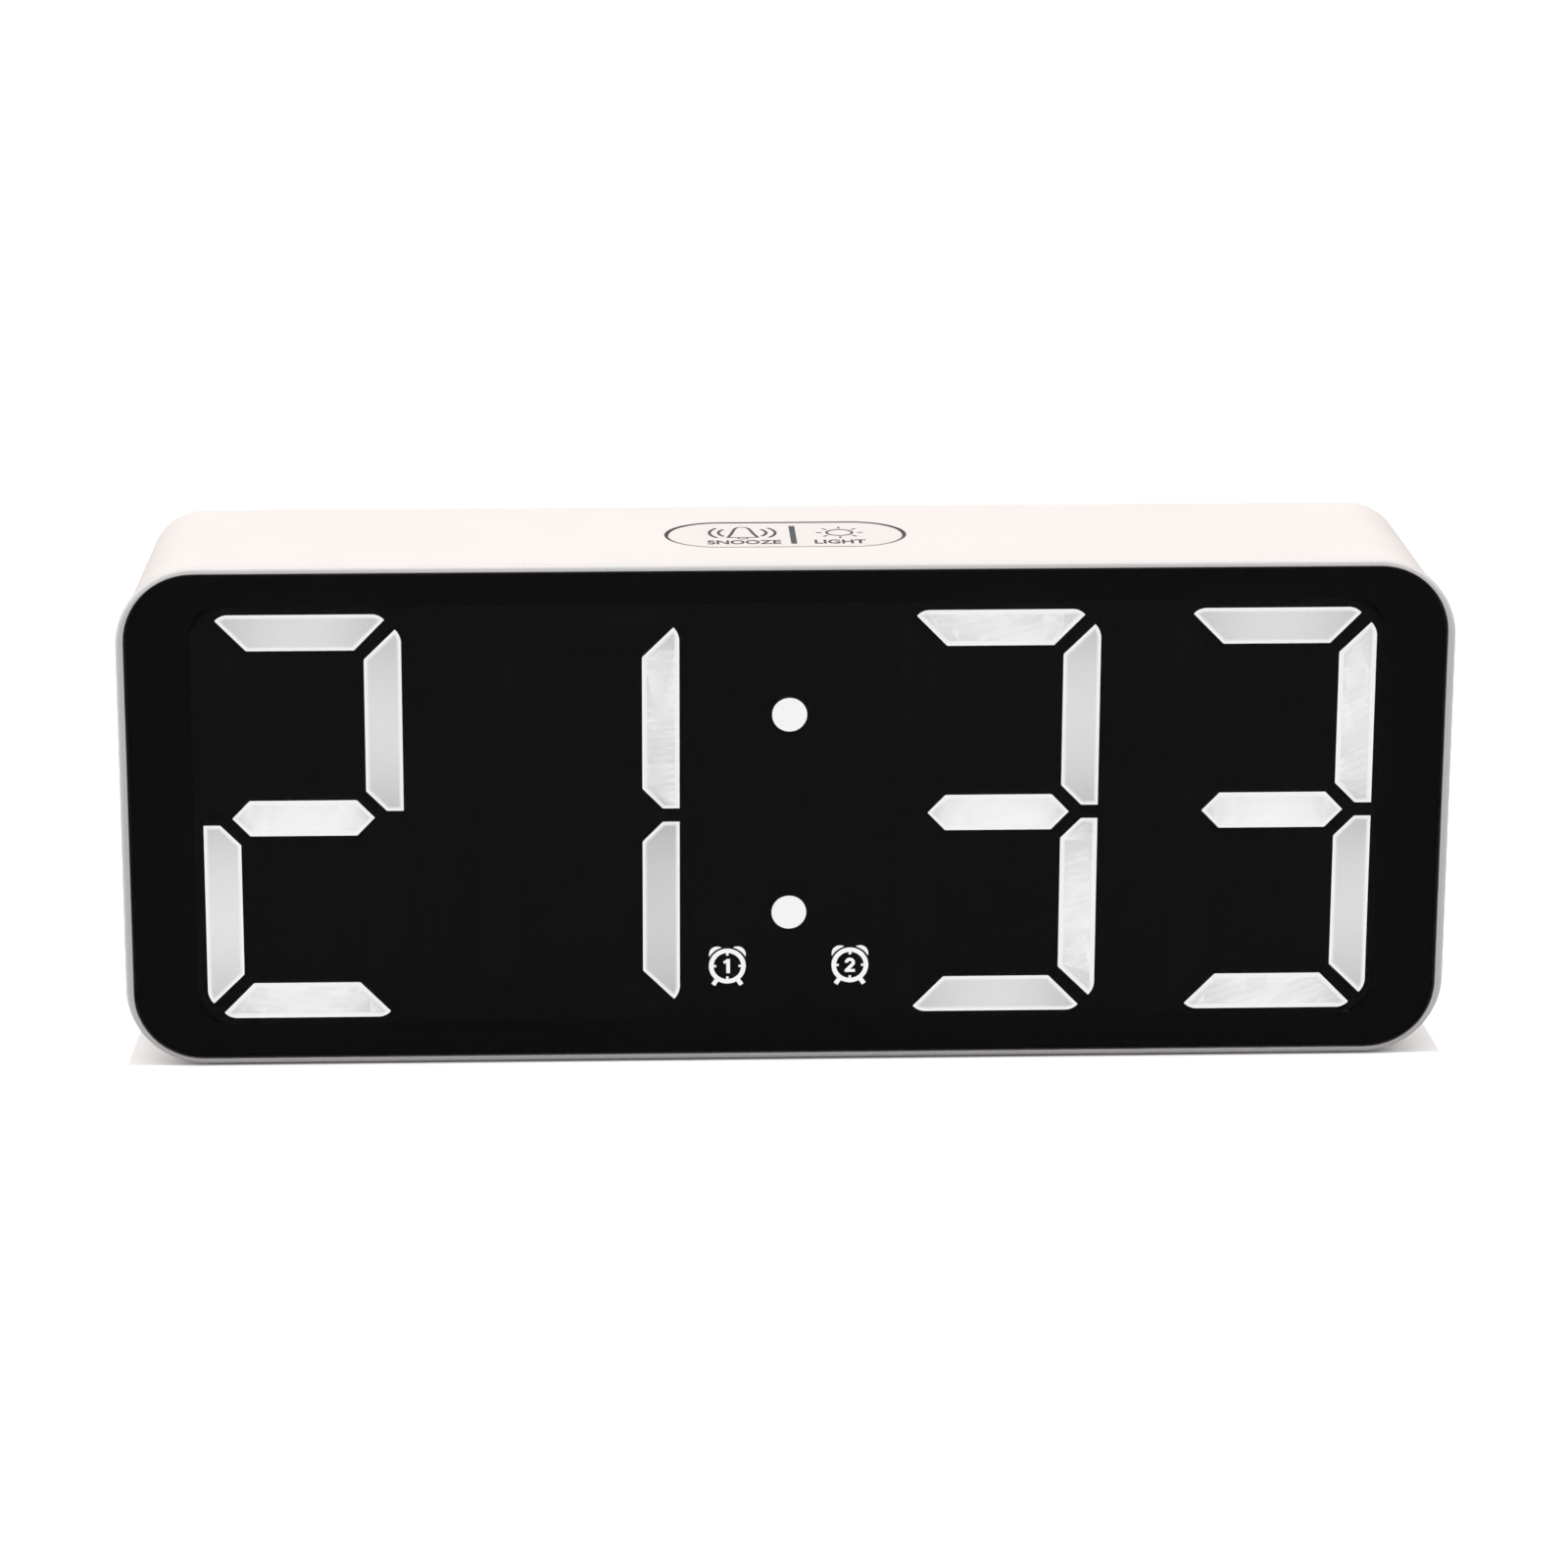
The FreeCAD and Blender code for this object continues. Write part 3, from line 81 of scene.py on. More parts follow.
# ------------------------------------------------------------------- prints
PRINT_THICK = 0.025 * MM
SINK = 0.005 * MM                       # how far a print reaches into its surface
KEY_LINE = 0.38 * MM
THIN_LINE = 0.6 * KEY_LINE
SUN_LINE = 0.8 * KEY_LINE
KEY_BAR = 0.72 * MM
BELL_X = -5.2 * MM                      # middle of the bell sign on the key
BELL_SIDE = ((0.75, 3.3), (1.0, 2.4), (1.25, 0.8), (1.75, -1.3))   # right side, in mm
BELL_BASE = ((-2.0, -1.5), (2.0, -1.5))                            # in mm
CROWN_Y = 3.1 * MM
CROWN_R = 0.78 * MM
CLAPPER_Y = -1.75 * MM
CLAPPER_R = 0.6 * MM
SOUND_Y = 0.9 * MM
SOUND_RADII = (2.9 * MM, 4.0 * MM)
SOUND_STARTS = (-38, 142)               # degrees, right and left arcs
SOUND_SWEEP = 76
SUN_X = 6.6 * MM
SUN_Y = 0.75 * MM
SUN_R = 1.55 * MM
SUN_RAYS = 8
RAY_REACH = (2.15, 2.85)                # from the middle of the sun, in mm
DIVIDER = ((0.9, -4.9), (0.9, 4.3))     # in mm
KEY_WORDS = (("SNOOZE", 8.9 * MM, BELL_X + 0.1 * MM), ("LIGHT", 6.2 * MM, SUN_X - 0.1 * MM))
WORD_WEIGHT = 0.022                     # how much the letters are fattened
WORD_Y = -3.95 * MM
KEY_FLANGE = 1.0 * MM                   # hidden flange round the key
GAP_SHADE_IN = 0.06 * MM                     # dark sheet of painted shade in the gap round the key, from the side of the key outwards
GAP_SHADE_OUT = 0.42 * MM
GAP_SHADE_DEPTH = 0.02 * MM
GAP_SHADE_TALL = 0.8 * MM
WORD_HEIGHT = 2.0 * MM
LABEL_HEIGHT = 1.7 * MM
LABEL_RISE = 5.0 * MM
BACK_LABELS = ("mode", "set", "alarm", "down", "up")
POWER_LABEL_DROP = 4.2 * MM             # below the power socket
SOCKET_CLEAR = 5.0 * MM                 # a ray to the shell starts this far behind the socket
RIBS = 3                                # grip ribs on the battery door
RIB_DROP = 8.0 * MM                     # first rib, below the top of the door
RIB_LENGTH = 9.0                        # in mm
RIB_SHORTER = 2.4                       # in mm, every rib is shorter than the one above
RIB_PITCH = 1.6 * MM
RIB_WIDTH = 0.7 * MM
RIB_TALL = 0.3 * MM
RIB_SINK = 0.02 * MM
RIB_ROUND = 0.12 * MM
CELL_WORD = "AAA  1.5V"
CELL_WORD_HEIGHT = 3.2 * MM
CELL_WORD_X = 2.0 * MM
CELL_PLUS_HEIGHT = 3.0 * MM
CELL_PLUS_X = -17.0 * MM
CELL_SLICE = 0.3 * MM                   # the cell print is cut this fine to follow the curve
CELL_SLICES = 8

# ------------------------------------------------------------------ plastics
CASE_WHITE = (0.762, 0.716, 0.697)
RIM_WHITE = (0.74, 0.72, 0.725)
INNER_WHITE = (0.72, 0.70, 0.67)
INK = (0.035, 0.035, 0.04)

# -------------------------------------------------------------------- studio
FLOOR_REACH = 6.0                       # half the side of the floor, in metres
FLOOR_BOUNCE = (0.5, 0.5, 0.5)          # table as the clock's own surfaces see it
FLOOR_GLOW = 0.45                       # only the camera sees this
PAINTED_SHADOW_FADE = 0.6 * MM                   # painted contact shadow: the glow sets in this far from the clock
FOOT_TAPER = 2.3 / 34                   # each side closes in by 2.3 mm over 34 mm of depth
TENT_TINT = (1.0, 0.985, 0.975, 1.0)
# for the light tent: direction from and to, then brightness from and to
TENT_TOP = (0.1, 0.75, 0.3, 1.65)
TENT_FRONT = (-0.75, -0.1, 0.33, 1.0)
TENT_LEFT = (-0.9, -0.4, 1.0, 0.0)
TENT_RIGHT = (0.4, 0.9, 0.0, 0.6)


# ================================================================= materials
class Look:
    """A material on one Principled shader, patterned in the piece's own space."""

    def __init__(self, name):
        self.material = bpy.data.materials.new(name)
        self.material.use_nodes = True
        self.tree = self.material.node_tree
        self.shader = self.tree.nodes["Principled BSDF"]
        self.place = self.add("TexCoord", {}).outputs["Object"]

    def add(self, kind, inputs, **settings):
        node = self.tree.nodes.new("ShaderNode" + kind)
        for name, value in settings.items():
            setattr(node, name, value)
        for key, value in inputs.items():
            self.feed(node.inputs[key], value)
        return node

    def feed(self, socket, value):
        if isinstance(value, bpy.types.NodeSocket):
            self.tree.links.new(value, socket)
        elif isinstance(value, tuple) and len(value) == 3 and len(socket.default_value) == 4:
            socket.default_value = (*value, 1.0)
        else:
            socket.default_value = value

    def set(self, name, value):
        self.feed(self.shader.inputs[name], value)

    def noise(self, size, detail=2.0, vector=None):
        """Soft lumps of about this size."""
        inputs = {"Vector": vector or self.place, "Scale": 1.0 / size, "Detail": detail}
        return self.add("TexNoise", inputs).outputs[0]

    def spread(self, value, low, high, start=0.3, end=0.7):
        inputs = {"Value": value, "From Min": start, "From Max": end, "To Min": low, "To Max": high}
        return self.add("MapRange", inputs).outputs["Result"]

    def mix(self, factor, first, second):
        node = self.add("Mix", {0: factor}, data_type="RGBA")
        self.feed(node.inputs[6], first)
        self.feed(node.inputs[7], second)
        return node.outputs[2]

    def math(self, operation, first, second=0.0):
        return self.add("Math", {0: first, 1: second}, operation=operation).outputs[0]

    def axes(self, vector=None):
        return self.add("SeparateXYZ", {0: vector or self.place}).outputs

    def bump(self, height, depth, strength=1.0):
        inputs = {"Strength": strength, "Distance": depth, "Height": height}
        self.set("Normal", self.add("Bump", inputs).outputs["Normal"])


def scaled(colour, factor):
    return tuple(c * factor for c in colour)


def moulded_plastic(name, colour, gloss, grain=0.22 * MM, depth=0.012 * MM):
    """Moulded plastic: slow drift of shade, uneven sheen, fine spark-eroded grain."""
    look = Look(name)
    drift = look.spread(look.noise(38 * MM), 0.0, 1.0)
    fleck = look.spread(look.noise(0.7 * MM, 3.0), 0.0, 1.0)
    base = look.mix(drift, scaled(colour, 0.975), colour)
    look.set("Base Color", look.mix(look.math("MULTIPLY", fleck, 0.25), base, scaled(colour, 0.93)))
    touched = look.spread(look.noise(9 * MM, 4.0), -0.03, 0.05)
    fine = look.spread(look.noise(0.5 * MM, 2.0), gloss - 0.03, gloss + 0.04)
    look.set("Roughness", look.math("ADD", touched, fine))
    look.bump(look.noise(grain, 2.0), depth)
    return look.material


def tinted_lens():
    """Smoked acrylic with the faint wave of a moulded sheet."""
    look = Look("tinted_lens")
    smoke = look.spread(look.noise(30 * MM), 0.0, 1.0)
    light = (LENS_TINT,) * 3
    look.set("Base Color", look.mix(smoke, scaled(light, 0.985), light))
    look.set("Transmission Weight", 1.0)
    look.set("IOR", 1.49)
    look.set("Roughness", 0.0)
    look.bump(look.noise(40 * MM, 0.0), 0.002 * MM, 0.3)
    return look.material


def black_ink():
    look = Look("black_ink")
    mottle = look.spread(look.noise(0.4 * MM, 3.0), 0.0, 1.0)
    look.set("Base Color", look.mix(mottle, (0.004, 0.004, 0.005), (0.008, 0.008, 0.009)))
    look.set("Roughness", look.spread(mottle, 0.45, 0.6, 0.0, 1.0))
    return look.material


def sign_ink(name, colour):
    """Pad-printed ink: a little uneven, slightly matter than the plastic."""
    look = Look(name)
    cover = look.spread(look.noise(0.25 * MM, 3.0), 0.0, 1.0)
    look.set("Base Color", look.mix(cover, colour, tuple(c * 1.35 + 0.01 for c in colour)))
    look.set("Roughness", look.spread(look.noise(0.6 * MM), 0.5, 0.65))
    look.bump(look.noise(0.12 * MM), 0.004 * MM)
    return look.material


def milky_guide():
    """Unlit light guide: grey, cloudy acrylic."""
    look = Look("milky_guide")
    cloud = look.spread(look.noise(2.5 * MM, 4.0), 0.0, 1.0)
    look.set("Base Color", look.mix(cloud, (0.07, 0.07, 0.07), (0.10, 0.10, 0.098)))
    look.set("Roughness", look.spread(cloud, 0.35, 0.5, 0.0, 1.0))
    look.set("Subsurface Weight", 0.1)
    look.set("Subsurface Radius", (0.6 * MM, 0.6 * MM, 0.6 * MM))
    look.set("Subsurface Scale", 1.0)
    return look.material


def lit_film():
    """Lit face of the display: brighter along its rim and at its LED."""
    look = Look("lit_film")
    rim = look.add("Attribute", {}, attribute_name="rim_light").outputs["Fac"]
    led = look.add("Attribute", {}, attribute_name="led_light").outputs["Fac"]
    drift = look.spread(look.noise(9 * MM, 1.0), 0.985 * GLOW_INNER, 1.015 * GLOW_INNER)
    inner = look.math("MULTIPLY", drift, led)
    level = look.add("Mix", {0: rim, 2: inner, 3: GLOW_OUTER}, data_type="FLOAT").outputs[0]
    look.set("Base Color", (0.05, 0.05, 0.05))
    look.set("Emission Color", look.mix(rim, (0.992, 1.0, 0.996), (1.0, 1.0, 1.0)))
    look.set("Emission Strength", level)
    look.set("Roughness", look.spread(look.noise(1.5 * MM), 0.5, 0.6))
    return look.material


def circuit_board():
    """Solder mask with a grid of raised tracks under it."""
    look = Look("circuit_board")
    axes = look.axes()
    flat = look.add("CombineXYZ", {0: axes[0], 1: look.math("ADD", axes[1], axes[2])}).outputs[0]
    tracks = look.add("TexBrick", {"Vector": flat, "Scale": 1.0, "Mortar Size": 0.25 * MM,
                                   "Mortar Smooth": 0.2, "Brick Width": 9.5 * MM,
                                   "Row Height": 1.27 * MM, "Color1": (1.0, 1.0, 1.0),
                                   "Color2": (0.0, 0.0, 0.0)})
    line = tracks.outputs["Fac"]
    weave = look.spread(look.noise(0.5 * MM, 3.0), 0.0, 1.0)
    mask = look.mix(weave, (0.008, 0.085, 0.030), (0.012, 0.11, 0.040))
    look.set("Base Color", look.mix(line, mask, (0.03, 0.20, 0.075)))
    look.set("Roughness", look.spread(weave, 0.28, 0.4, 0.0, 1.0))
    look.bump(line, 0.03 * MM)
    return look.material


def brushed_metal(name, colour, rough, stretch=(1.0, 1.0, 1.0)):
    look = Look(name)
    drawn = look.add("Mapping", {"Vector": look.place, "Scale": stretch}).outputs[0]
    grain = look.spread(look.noise(0.3 * MM, 4.0, drawn), 0.0, 1.0)
    look.set("Base Color", look.mix(grain, scaled(colour, 0.86), colour))
    look.set("Metallic", 1.0)
    look.set("Roughness", look.spread(grain, rough - 0.05, rough + 0.1, 0.0, 1.0))
    look.bump(look.noise(0.2 * MM, 3.0, drawn), 0.003 * MM)
    return look.material


def matt_rubber(name, colour):
    look = Look(name)
    bloom = look.spread(look.noise(1.6 * MM, 4.0), 0.0, 1.0)
    look.set("Base Color", look.mix(bloom, colour, scaled(colour, 1.5)))
    look.set("Roughness", look.spread(bloom, 0.7, 0.85, 0.0, 1.0))
    look.bump(look.noise(0.18 * MM, 3.0), 0.02 * MM)
    return look.material


def cell_jacket():
    """Printed shrink sleeve with bare steel at both ends and round the nub."""
    look = Look("cell_jacket")
    facing = look.add("TexCoord", {}).outputs["Normal"]
    turned = look.math("ABSOLUTE", look.axes(facing)[0])
    steel = look.math("GREATER_THAN", turned, 0.75)
    fibre = look.spread(look.noise(1.2 * MM, 3.0), 0.0, 1.0)
    sleeve = look.mix(fibre, (0.045, 0.11, 0.23), (0.055, 0.13, 0.265))
    look.set("Base Color", look.mix(steel, sleeve, (0.66, 0.65, 0.62)))
    look.set("Metallic", steel)
    look.set("Roughness", look.spread(fibre, 0.26, 0.36, 0.0, 1.0))
    look.bump(look.noise(3 * MM, 2.0), 0.02 * MM)
    return look.material


def wire_jacket():
    look = Look("wire_jacket")
    height = look.axes()[2]
    band = look.math("GREATER_THAN", look.noise(8 * MM, 0.0), 0.5)
    tone = look.mix(look.math("MULTIPLY", band, 0.2), (0.28, 0.02, 0.02), (0.20, 0.015, 0.015))
    look.set("Base Color", look.mix(look.spread(height, 0.0, 0.15, 0.0, 60 * MM), tone, (0.4, 0.05, 0.04)))
    look.set("Roughness", look.spread(look.noise(1 * MM), 0.4, 0.5))
    return look.material


def ribbon_jacket():
    """Grey flat cable: one ridge for every core."""
    look = Look("ribbon_jacket")
    wave = look.add("TexWave", {"Vector": look.place, "Scale": 0.5 / (1.0 * MM)},
                    bands_direction="X", wave_profile="SIN").outputs["Fac"]
    look.set("Base Color", look.mix(wave, (0.20, 0.20, 0.21), (0.34, 0.34, 0.35)))
    look.set("Roughness", look.spread(wave, 0.4, 0.5, 0.0, 1.0))
    look.bump(wave, 0.15 * MM)
    return look.material


def make_looks():
    """One material for each slot of the record."""
    return {
        "white_case": moulded_plastic("case_plastic", CASE_WHITE, 0.46),
        "white_rim": moulded_plastic("rim_plastic", RIM_WHITE, 0.30, 0.5 * MM, 0.004 * MM),
        "white_door": moulded_plastic("door_plastic", scaled(CASE_WHITE, 0.985), 0.47),
        "white_inner": moulded_plastic("inner_plastic", INNER_WHITE, 0.5),
        "white_key": moulded_plastic("key_plastic", CASE_WHITE, 0.38, 0.3 * MM, 0.006 * MM),
        "button_plastic": moulded_plastic("button_plastic", (0.70, 0.67, 0.65), 0.34, 0.3 * MM, 0.006 * MM),
        "black_lens": tinted_lens(),
        "black_housing": moulded_plastic("housing_plastic", (0.012, 0.012, 0.013), 0.6),
        "light_guide": milky_guide(),
        "circuit_board": circuit_board(),
        "black_component": moulded_plastic("component_epoxy", (0.02, 0.02, 0.021), 0.5),
        "switch_plunger": moulded_plastic("plunger_nylon", (0.45, 0.42, 0.36), 0.45),
        "led_package": moulded_plastic("led_resin", (0.80, 0.76, 0.50), 0.35),
        "screw_steel": brushed_metal("screw_steel", (0.42, 0.41, 0.40), 0.30),
        "nickel_plate": brushed_metal("nickel_plate", (0.74, 0.71, 0.65), 0.22, (1.0, 6.0, 1.0)),
        "foot_rubber": matt_rubber("foot_rubber", (0.035, 0.035, 0.036)),
        "cell_jacket": cell_jacket(),
        "wire_jacket": wire_jacket(),
        "ribbon_jacket": ribbon_jacket(),
    }


def paint_nodes(looks):
    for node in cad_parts.values():
        for place in node.material_slots:
            place.material = looks[place.material.name]


# ==================================================================== pieces
def add_piece(name, mesh, material, body):
    """Puts a finished mesh in the scene and ties it to a body."""
    mesh.materials.clear()
    mesh.materials.append(material)
    piece = bpy.data.objects.new(name, mesh)
    bpy.context.scene.collection.objects.link(piece)
    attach(piece, body)
    return piece


def mesh_from(bm, name):
    mesh = bpy.data.meshes.new(name)
    bm.normal_update()
    bm.to_mesh(mesh)
    bm.free()
    return mesh


def surface_spot(node, start, direction):
    """Where a ray from start meets a CAD node, and which way its surface faces there."""
    hit, spot, normal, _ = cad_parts[node].ray_cast(start, direction)
    if not hit:
        raise ValueError(f"no surface of {node} on that line")
    return spot, normal


def surface_frame(spot, normal, right):
    """Matrix that puts X along right, Z along the normal and the origin on the surface."""
    z = normal.normalized()
    x = (right - z * right.dot(z)).normalized()
    y = z.cross(x)
    return Matrix.Translation(spot) @ Matrix((x, y, z)).transposed().to_4x4()


def thicken(piece, thickness):
    """Gives a flat piece its thickness, away from the side it faces."""
    solid = piece.modifiers.new("thickness", "SOLIDIFY")
    solid.thickness = thickness
    solid.offset = -1.0


def bridge_rings(bm, first, second):
    """Faces between two closed rings with the same number of points."""
    count = len(first)
    for i in range(count):
        j = (i + 1) % count
        bm.faces.new((first[i], first[j], second[j], second[i]))


def join_all(bm, others):
    """Adds meshes to bm and removes them from the file."""
    for mesh in others:
        bm.from_mesh(mesh)
        bpy.data.meshes.remove(mesh)


# ------------------------------------------------------------ display pieces
def front_faces(node):
    """The front faces of a display node as a bmesh."""
    low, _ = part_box(node)
    bm = bmesh.new()
    bm.from_mesh(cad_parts[node].data)
    hidden = [f for f in bm.faces
              if f.normal.y > FACES_FRONT or f.calc_center_median().y > low.y + SAME_PLANE]
    bmesh.ops.delete(bm, geom=hidden, context="FACES")
    bmesh.ops.remove_doubles(bm, verts=bm.verts, dist=SAME_POINT)
    return bm


def segment_letter(face, middle, half):
    """Which of the seven segments a face is, from where it lies on its digit."""
    place = face.calc_center_median() - middle
    if abs(place.x) > half.x / 2:
        right = place.x > 0
        if place.z > 0:
            return "b" if right else "f"
        return "c" if right else "e"
    if abs(place.z) < half.z / 4:
        return "g"
    return "a" if place.z > 0 else "d"


def raise_film(bm, name, material):
    """Turns flat faces into a thin film just in front of the light guide."""
    for vertex in bm.verts:
        vertex.co.y -= GLOW_GAP
    film = add_piece(name, mesh_from(bm, name), material, "root")
    thicken(film, GLOW_THICK)


def shrunk(points, distance):
    """A convex outline in X and Z with every side moved in by the same distance."""
    middle = sum(points, Vector()) / len(points)
    result = list(points)
    for a, b in zip(points, points[1:] + points[:1]):
        inward = Vector((a.z - b.z, 0, b.x - a.x)).normalized()
        if inward.dot(middle - a) < 0:
            inward.negate()
        heights = [inward.dot(p - a) - distance for p in result]
        kept = []
        for i, point in enumerate(result):
            if heights[i - 1] * heights[i] < 0:
                share = heights[i - 1] / (heights[i - 1] - heights[i])
                kept.append(result[i - 1].lerp(point, share))
            if heights[i] >= 0:
                kept.append(point)
        result = kept
    return result


def add_outline(bm, points, layer, level):
    """Closed loop of edges through points, with their rim brightness."""
    verts = [bm.verts.new(p) for p in points]
    for vertex in verts:
        vertex[layer] = level
    return verts, [bm.edges.new(pair) for pair in zip(verts, verts[1:] + verts[:1])]


def light_from_led(bm, layer, level):
    """Lets the brightness of a flat lit face fall off from its middle to its tips."""
    spots = [v.co for v in bm.verts]
    low = Vector(min(p[i] for p in spots) for i in range(3))
    high = Vector(max(p[i] for p in spots) for i in range(3))
    middle, half = (low + high) / 2, (high - low) / 2
    axis = 0 if half.x > half.z else 2
    along = Vector((axis == 0, 0, axis == 2))
    for step in GLOW_STEPS:
        geom = bm.verts[:] + bm.edges[:] + bm.faces[:]
        bmesh.ops.bisect_plane(bm, geom=geom, plane_co=middle + along * half * step, plane_no=along)
    for vertex in bm.verts:
        reach = (vertex.co[axis] - middle[axis]) / half[axis]
        vertex[layer] = level * (1.0 - GLOW_DROP * reach * reach)


def lit_segment(outline, level):
    """One lit segment: a bright rim that fades to a softer middle."""
    bm = bmesh.new()
    rim = bm.verts.layers.float.new("rim_light")
    led = bm.verts.layers.float.new("led_light")
    verts, edges = add_outline(bm, outline, rim, 1.0)
    for inset, share in ((GLOW_RIM, GLOW_RIM_SHARE), (GLOW_RIM + GLOW_FADE, 0.0)):
        verts, inner = add_outline(bm, shrunk(outline, inset), rim, share)
        bmesh.ops.bridge_loops(bm, edges=edges + inner)
        edges = inner
    bm.faces.new(verts)
    light_from_led(bm, led, level)
    return mesh_from(bm, "segment")


def lit_digit(name, digit, material):
    node = name + "_segments"
    low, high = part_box(node)
    flat = front_faces(node)
    bmesh.ops.dissolve_limit(flat, angle_limit=math.radians(0.5), verts=flat.verts, edges=flat.edges)
    middle, half = (low + high) / 2, (high - low) / 2
    segments = []
    for face in flat.faces:
        letter = segment_letter(face, middle, half)
        if letter in SEGMENTS_OF[digit]:
            level = LED_LEVEL.get(letter, 1.0) * DIGIT_LEVEL.get(name, 1.0)
            segments.append(lit_segment([v.co.copy() for v in face.verts], level))
    flat.free()
    bm = bmesh.new()
    join_all(bm, segments)
    for face in bm.faces:
        face.normal_update()
        if face.normal.y > 0:
            face.normal_flip()
    raise_film(bm, name + "_lit", material)


def lit_sign(node, material):
    bm = front_faces(node)
    rim = bm.verts.layers.float.new("rim_light")
    for vertex in bm.verts:
        vertex[rim] = 1.0
    raise_film(bm, node + "_lit", material)


def rounded_outline(width, height, radius, steps=12):
    """Points round a rounded rectangle in X and Z, about the origin."""
    points = []
    for turn in range(4):
        angle = turn * math.pi / 2
        sx = 1 if turn in (0, 3) else -1
        sz = 1 if turn in (0, 1) else -1
        centre = Vector((sx * (width / 2 - radius), 0, sz * (height / 2 - radius)))
        for i in range(steps + 1):
            a = angle + i / steps * math.pi / 2
            points.append(centre + Vector((math.cos(a), 0, math.sin(a))) * radius)
    return points


def capsule_outline(length, width, steps=24):
    """Points round a capsule in X and Y, about the origin."""
    points = []
    for side, start in ((1, -90), (-1, 90)):
        centre = Vector((side * (length - width) / 2, 0, 0))
        for i in range(steps + 1):
            a = math.radians(start + 180 * i / steps)
            points.append(centre + Vector((math.cos(a), math.sin(a), 0)) * width / 2)
    return points


def lens_mask(material):
    """Black print on the back of the lens, round the window for the digits."""
    low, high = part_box("display_lens")
    size = high - low
    middle = Vector((0, high.y - MASK_THICK, (low.z + high.z) / 2))
    outer = rounded_outline(size.x - 2 * MASK_INSET, size.z - 2 * MASK_INSET, MASK_CORNER)
    inner = rounded_outline(*MASK_WINDOW, WINDOW_CORNER)
    bm = bmesh.new()
    rings = [[bm.verts.new(p + middle) for p in points] for points in (outer, inner)]
    bridge_rings(bm, *rings)
    piece = add_piece("lens_print", mesh_from(bm, "lens_print"), material, "root")
    thicken(piece, MASK_THICK / 2)


def make_display(film, ink):
    for name, digit in zip(DIGITS, TIME):
        lit_digit(name, digit, film)
    for node in ("colon_dots", "alarm_1_icon", "alarm_2_icon"):
        lit_sign(node, film)
    lens_mask(ink)


# ------------------------------------------------------------- printed signs
def word_mesh(word, height, width=None, weight=0.0):
    """Flat raised word, centred on the origin, in X and Y, with this height and width."""
    curve = bpy.data.curves.new(word, "FONT")
    curve.body = word
    curve.align_x = "CENTER"
    curve.size = 1.0
    curve.offset = weight
    curve.resolution_u = 6
    holder = bpy.data.objects.new(word, curve)
    bpy.context.scene.collection.objects.link(holder)
    bpy.context.view_layer.update()
    mesh = bpy.data.meshes.new_from_object(holder.evaluated_get(bpy.context.evaluated_depsgraph_get()))
    bpy.data.objects.remove(holder)
    bpy.data.curves.remove(curve)
    xs = [v.co.x for v in mesh.vertices]
    ys = [v.co.y for v in mesh.vertices]
    tall = height / (max(ys) - min(ys))
    wide = width / (max(xs) - min(xs)) if width else tall
    centre = Vector(((max(xs) + min(xs)) / 2, (max(ys) + min(ys)) / 2, 0))
    mesh.transform(Matrix.Diagonal((wide, tall, 1, 1)) @ Matrix.Translation(-centre))
    return mesh


def stroke_mesh(points, width, closed=False):
    """Flat line of even width along points in X and Y."""
    bm = bmesh.new()
    count = len(points)
    sides = []
    for i, point in enumerate(points):
        before = points[i - 1] if i or closed else point
        after = points[(i + 1) % count] if i < count - 1 or closed else point
        along = (after - before).normalized()
        across = Vector((-along.y, along.x, 0)) * width / 2
        sides.append((bm.verts.new(point - across), bm.verts.new(point + across)))
    last = count if closed else count - 1
    for i in range(last):
        a, b = sides[i], sides[(i + 1) % count]
        bm.faces.new((a[0], b[0], b[1], a[1]))
    return mesh_from(bm, "stroke")


def arc_points(centre, radius, start, sweep, steps=16):
    return [centre + Vector((math.cos(a), math.sin(a), 0)) * radius
            for a in (math.radians(start + sweep * i / steps) for i in range(steps + 1))]


def moved(mesh, x, y):
    mesh.transform(Matrix.Translation((x, y, 0)))
    return mesh


def print_on(name, meshes, placing, material, body):
    """Lays flat signs on a surface as a thin layer of ink."""
    bm = bmesh.new()
    join_all(bm, meshes)
    for face in bm.faces:
        if face.normal.z < 0:
            face.normal_flip()
    bm.transform(placing @ Matrix.Translation((0, 0, PRINT_THICK - SINK)))
    thicken(add_piece(name, mesh_from(bm, name), material, body), PRINT_THICK)


def flat_points(pairs):
    """Points in X and Y from pairs in millimetres."""
    return [Vector((x, y, 0)) * MM for x, y in pairs]


def bell_strokes():
    """Bell sign with two sound arcs at each side."""
    right = flat_points(BELL_SIDE)
    left = [Vector((-p.x, p.y, 0)) for p in right]
    top = arc_points(Vector((0, CROWN_Y, 0)), CROWN_R, 15, 150)
    clapper = arc_points(Vector((0, CLAPPER_Y, 0)), CLAPPER_R, 180, 180)
    strokes = [stroke_mesh(points, KEY_LINE) for points in (right, left)]
    strokes += [stroke_mesh(points, THIN_LINE) for points in (top, flat_points(BELL_BASE), clapper)]
    middle = Vector((0, SOUND_Y, 0))
    for radius in SOUND_RADII:
        for start in SOUND_STARTS:
            strokes.append(stroke_mesh(arc_points(middle, radius, start, SOUND_SWEEP), KEY_LINE))
    return strokes


def sun_strokes():
    """Sun sign: a ring with short rays."""
    middle = Vector((0, SUN_Y, 0))
    ring = arc_points(middle, SUN_R, 0, 360, 40)[:-1]
    strokes = [stroke_mesh(ring, SUN_LINE, closed=True)]
    for i in range(SUN_RAYS):
        angle = math.tau * i / SUN_RAYS
        way = Vector((math.cos(angle), math.sin(angle), 0))
        strokes.append(stroke_mesh([way * reach * MM + middle for reach in RAY_REACH], SUN_LINE))
    return strokes


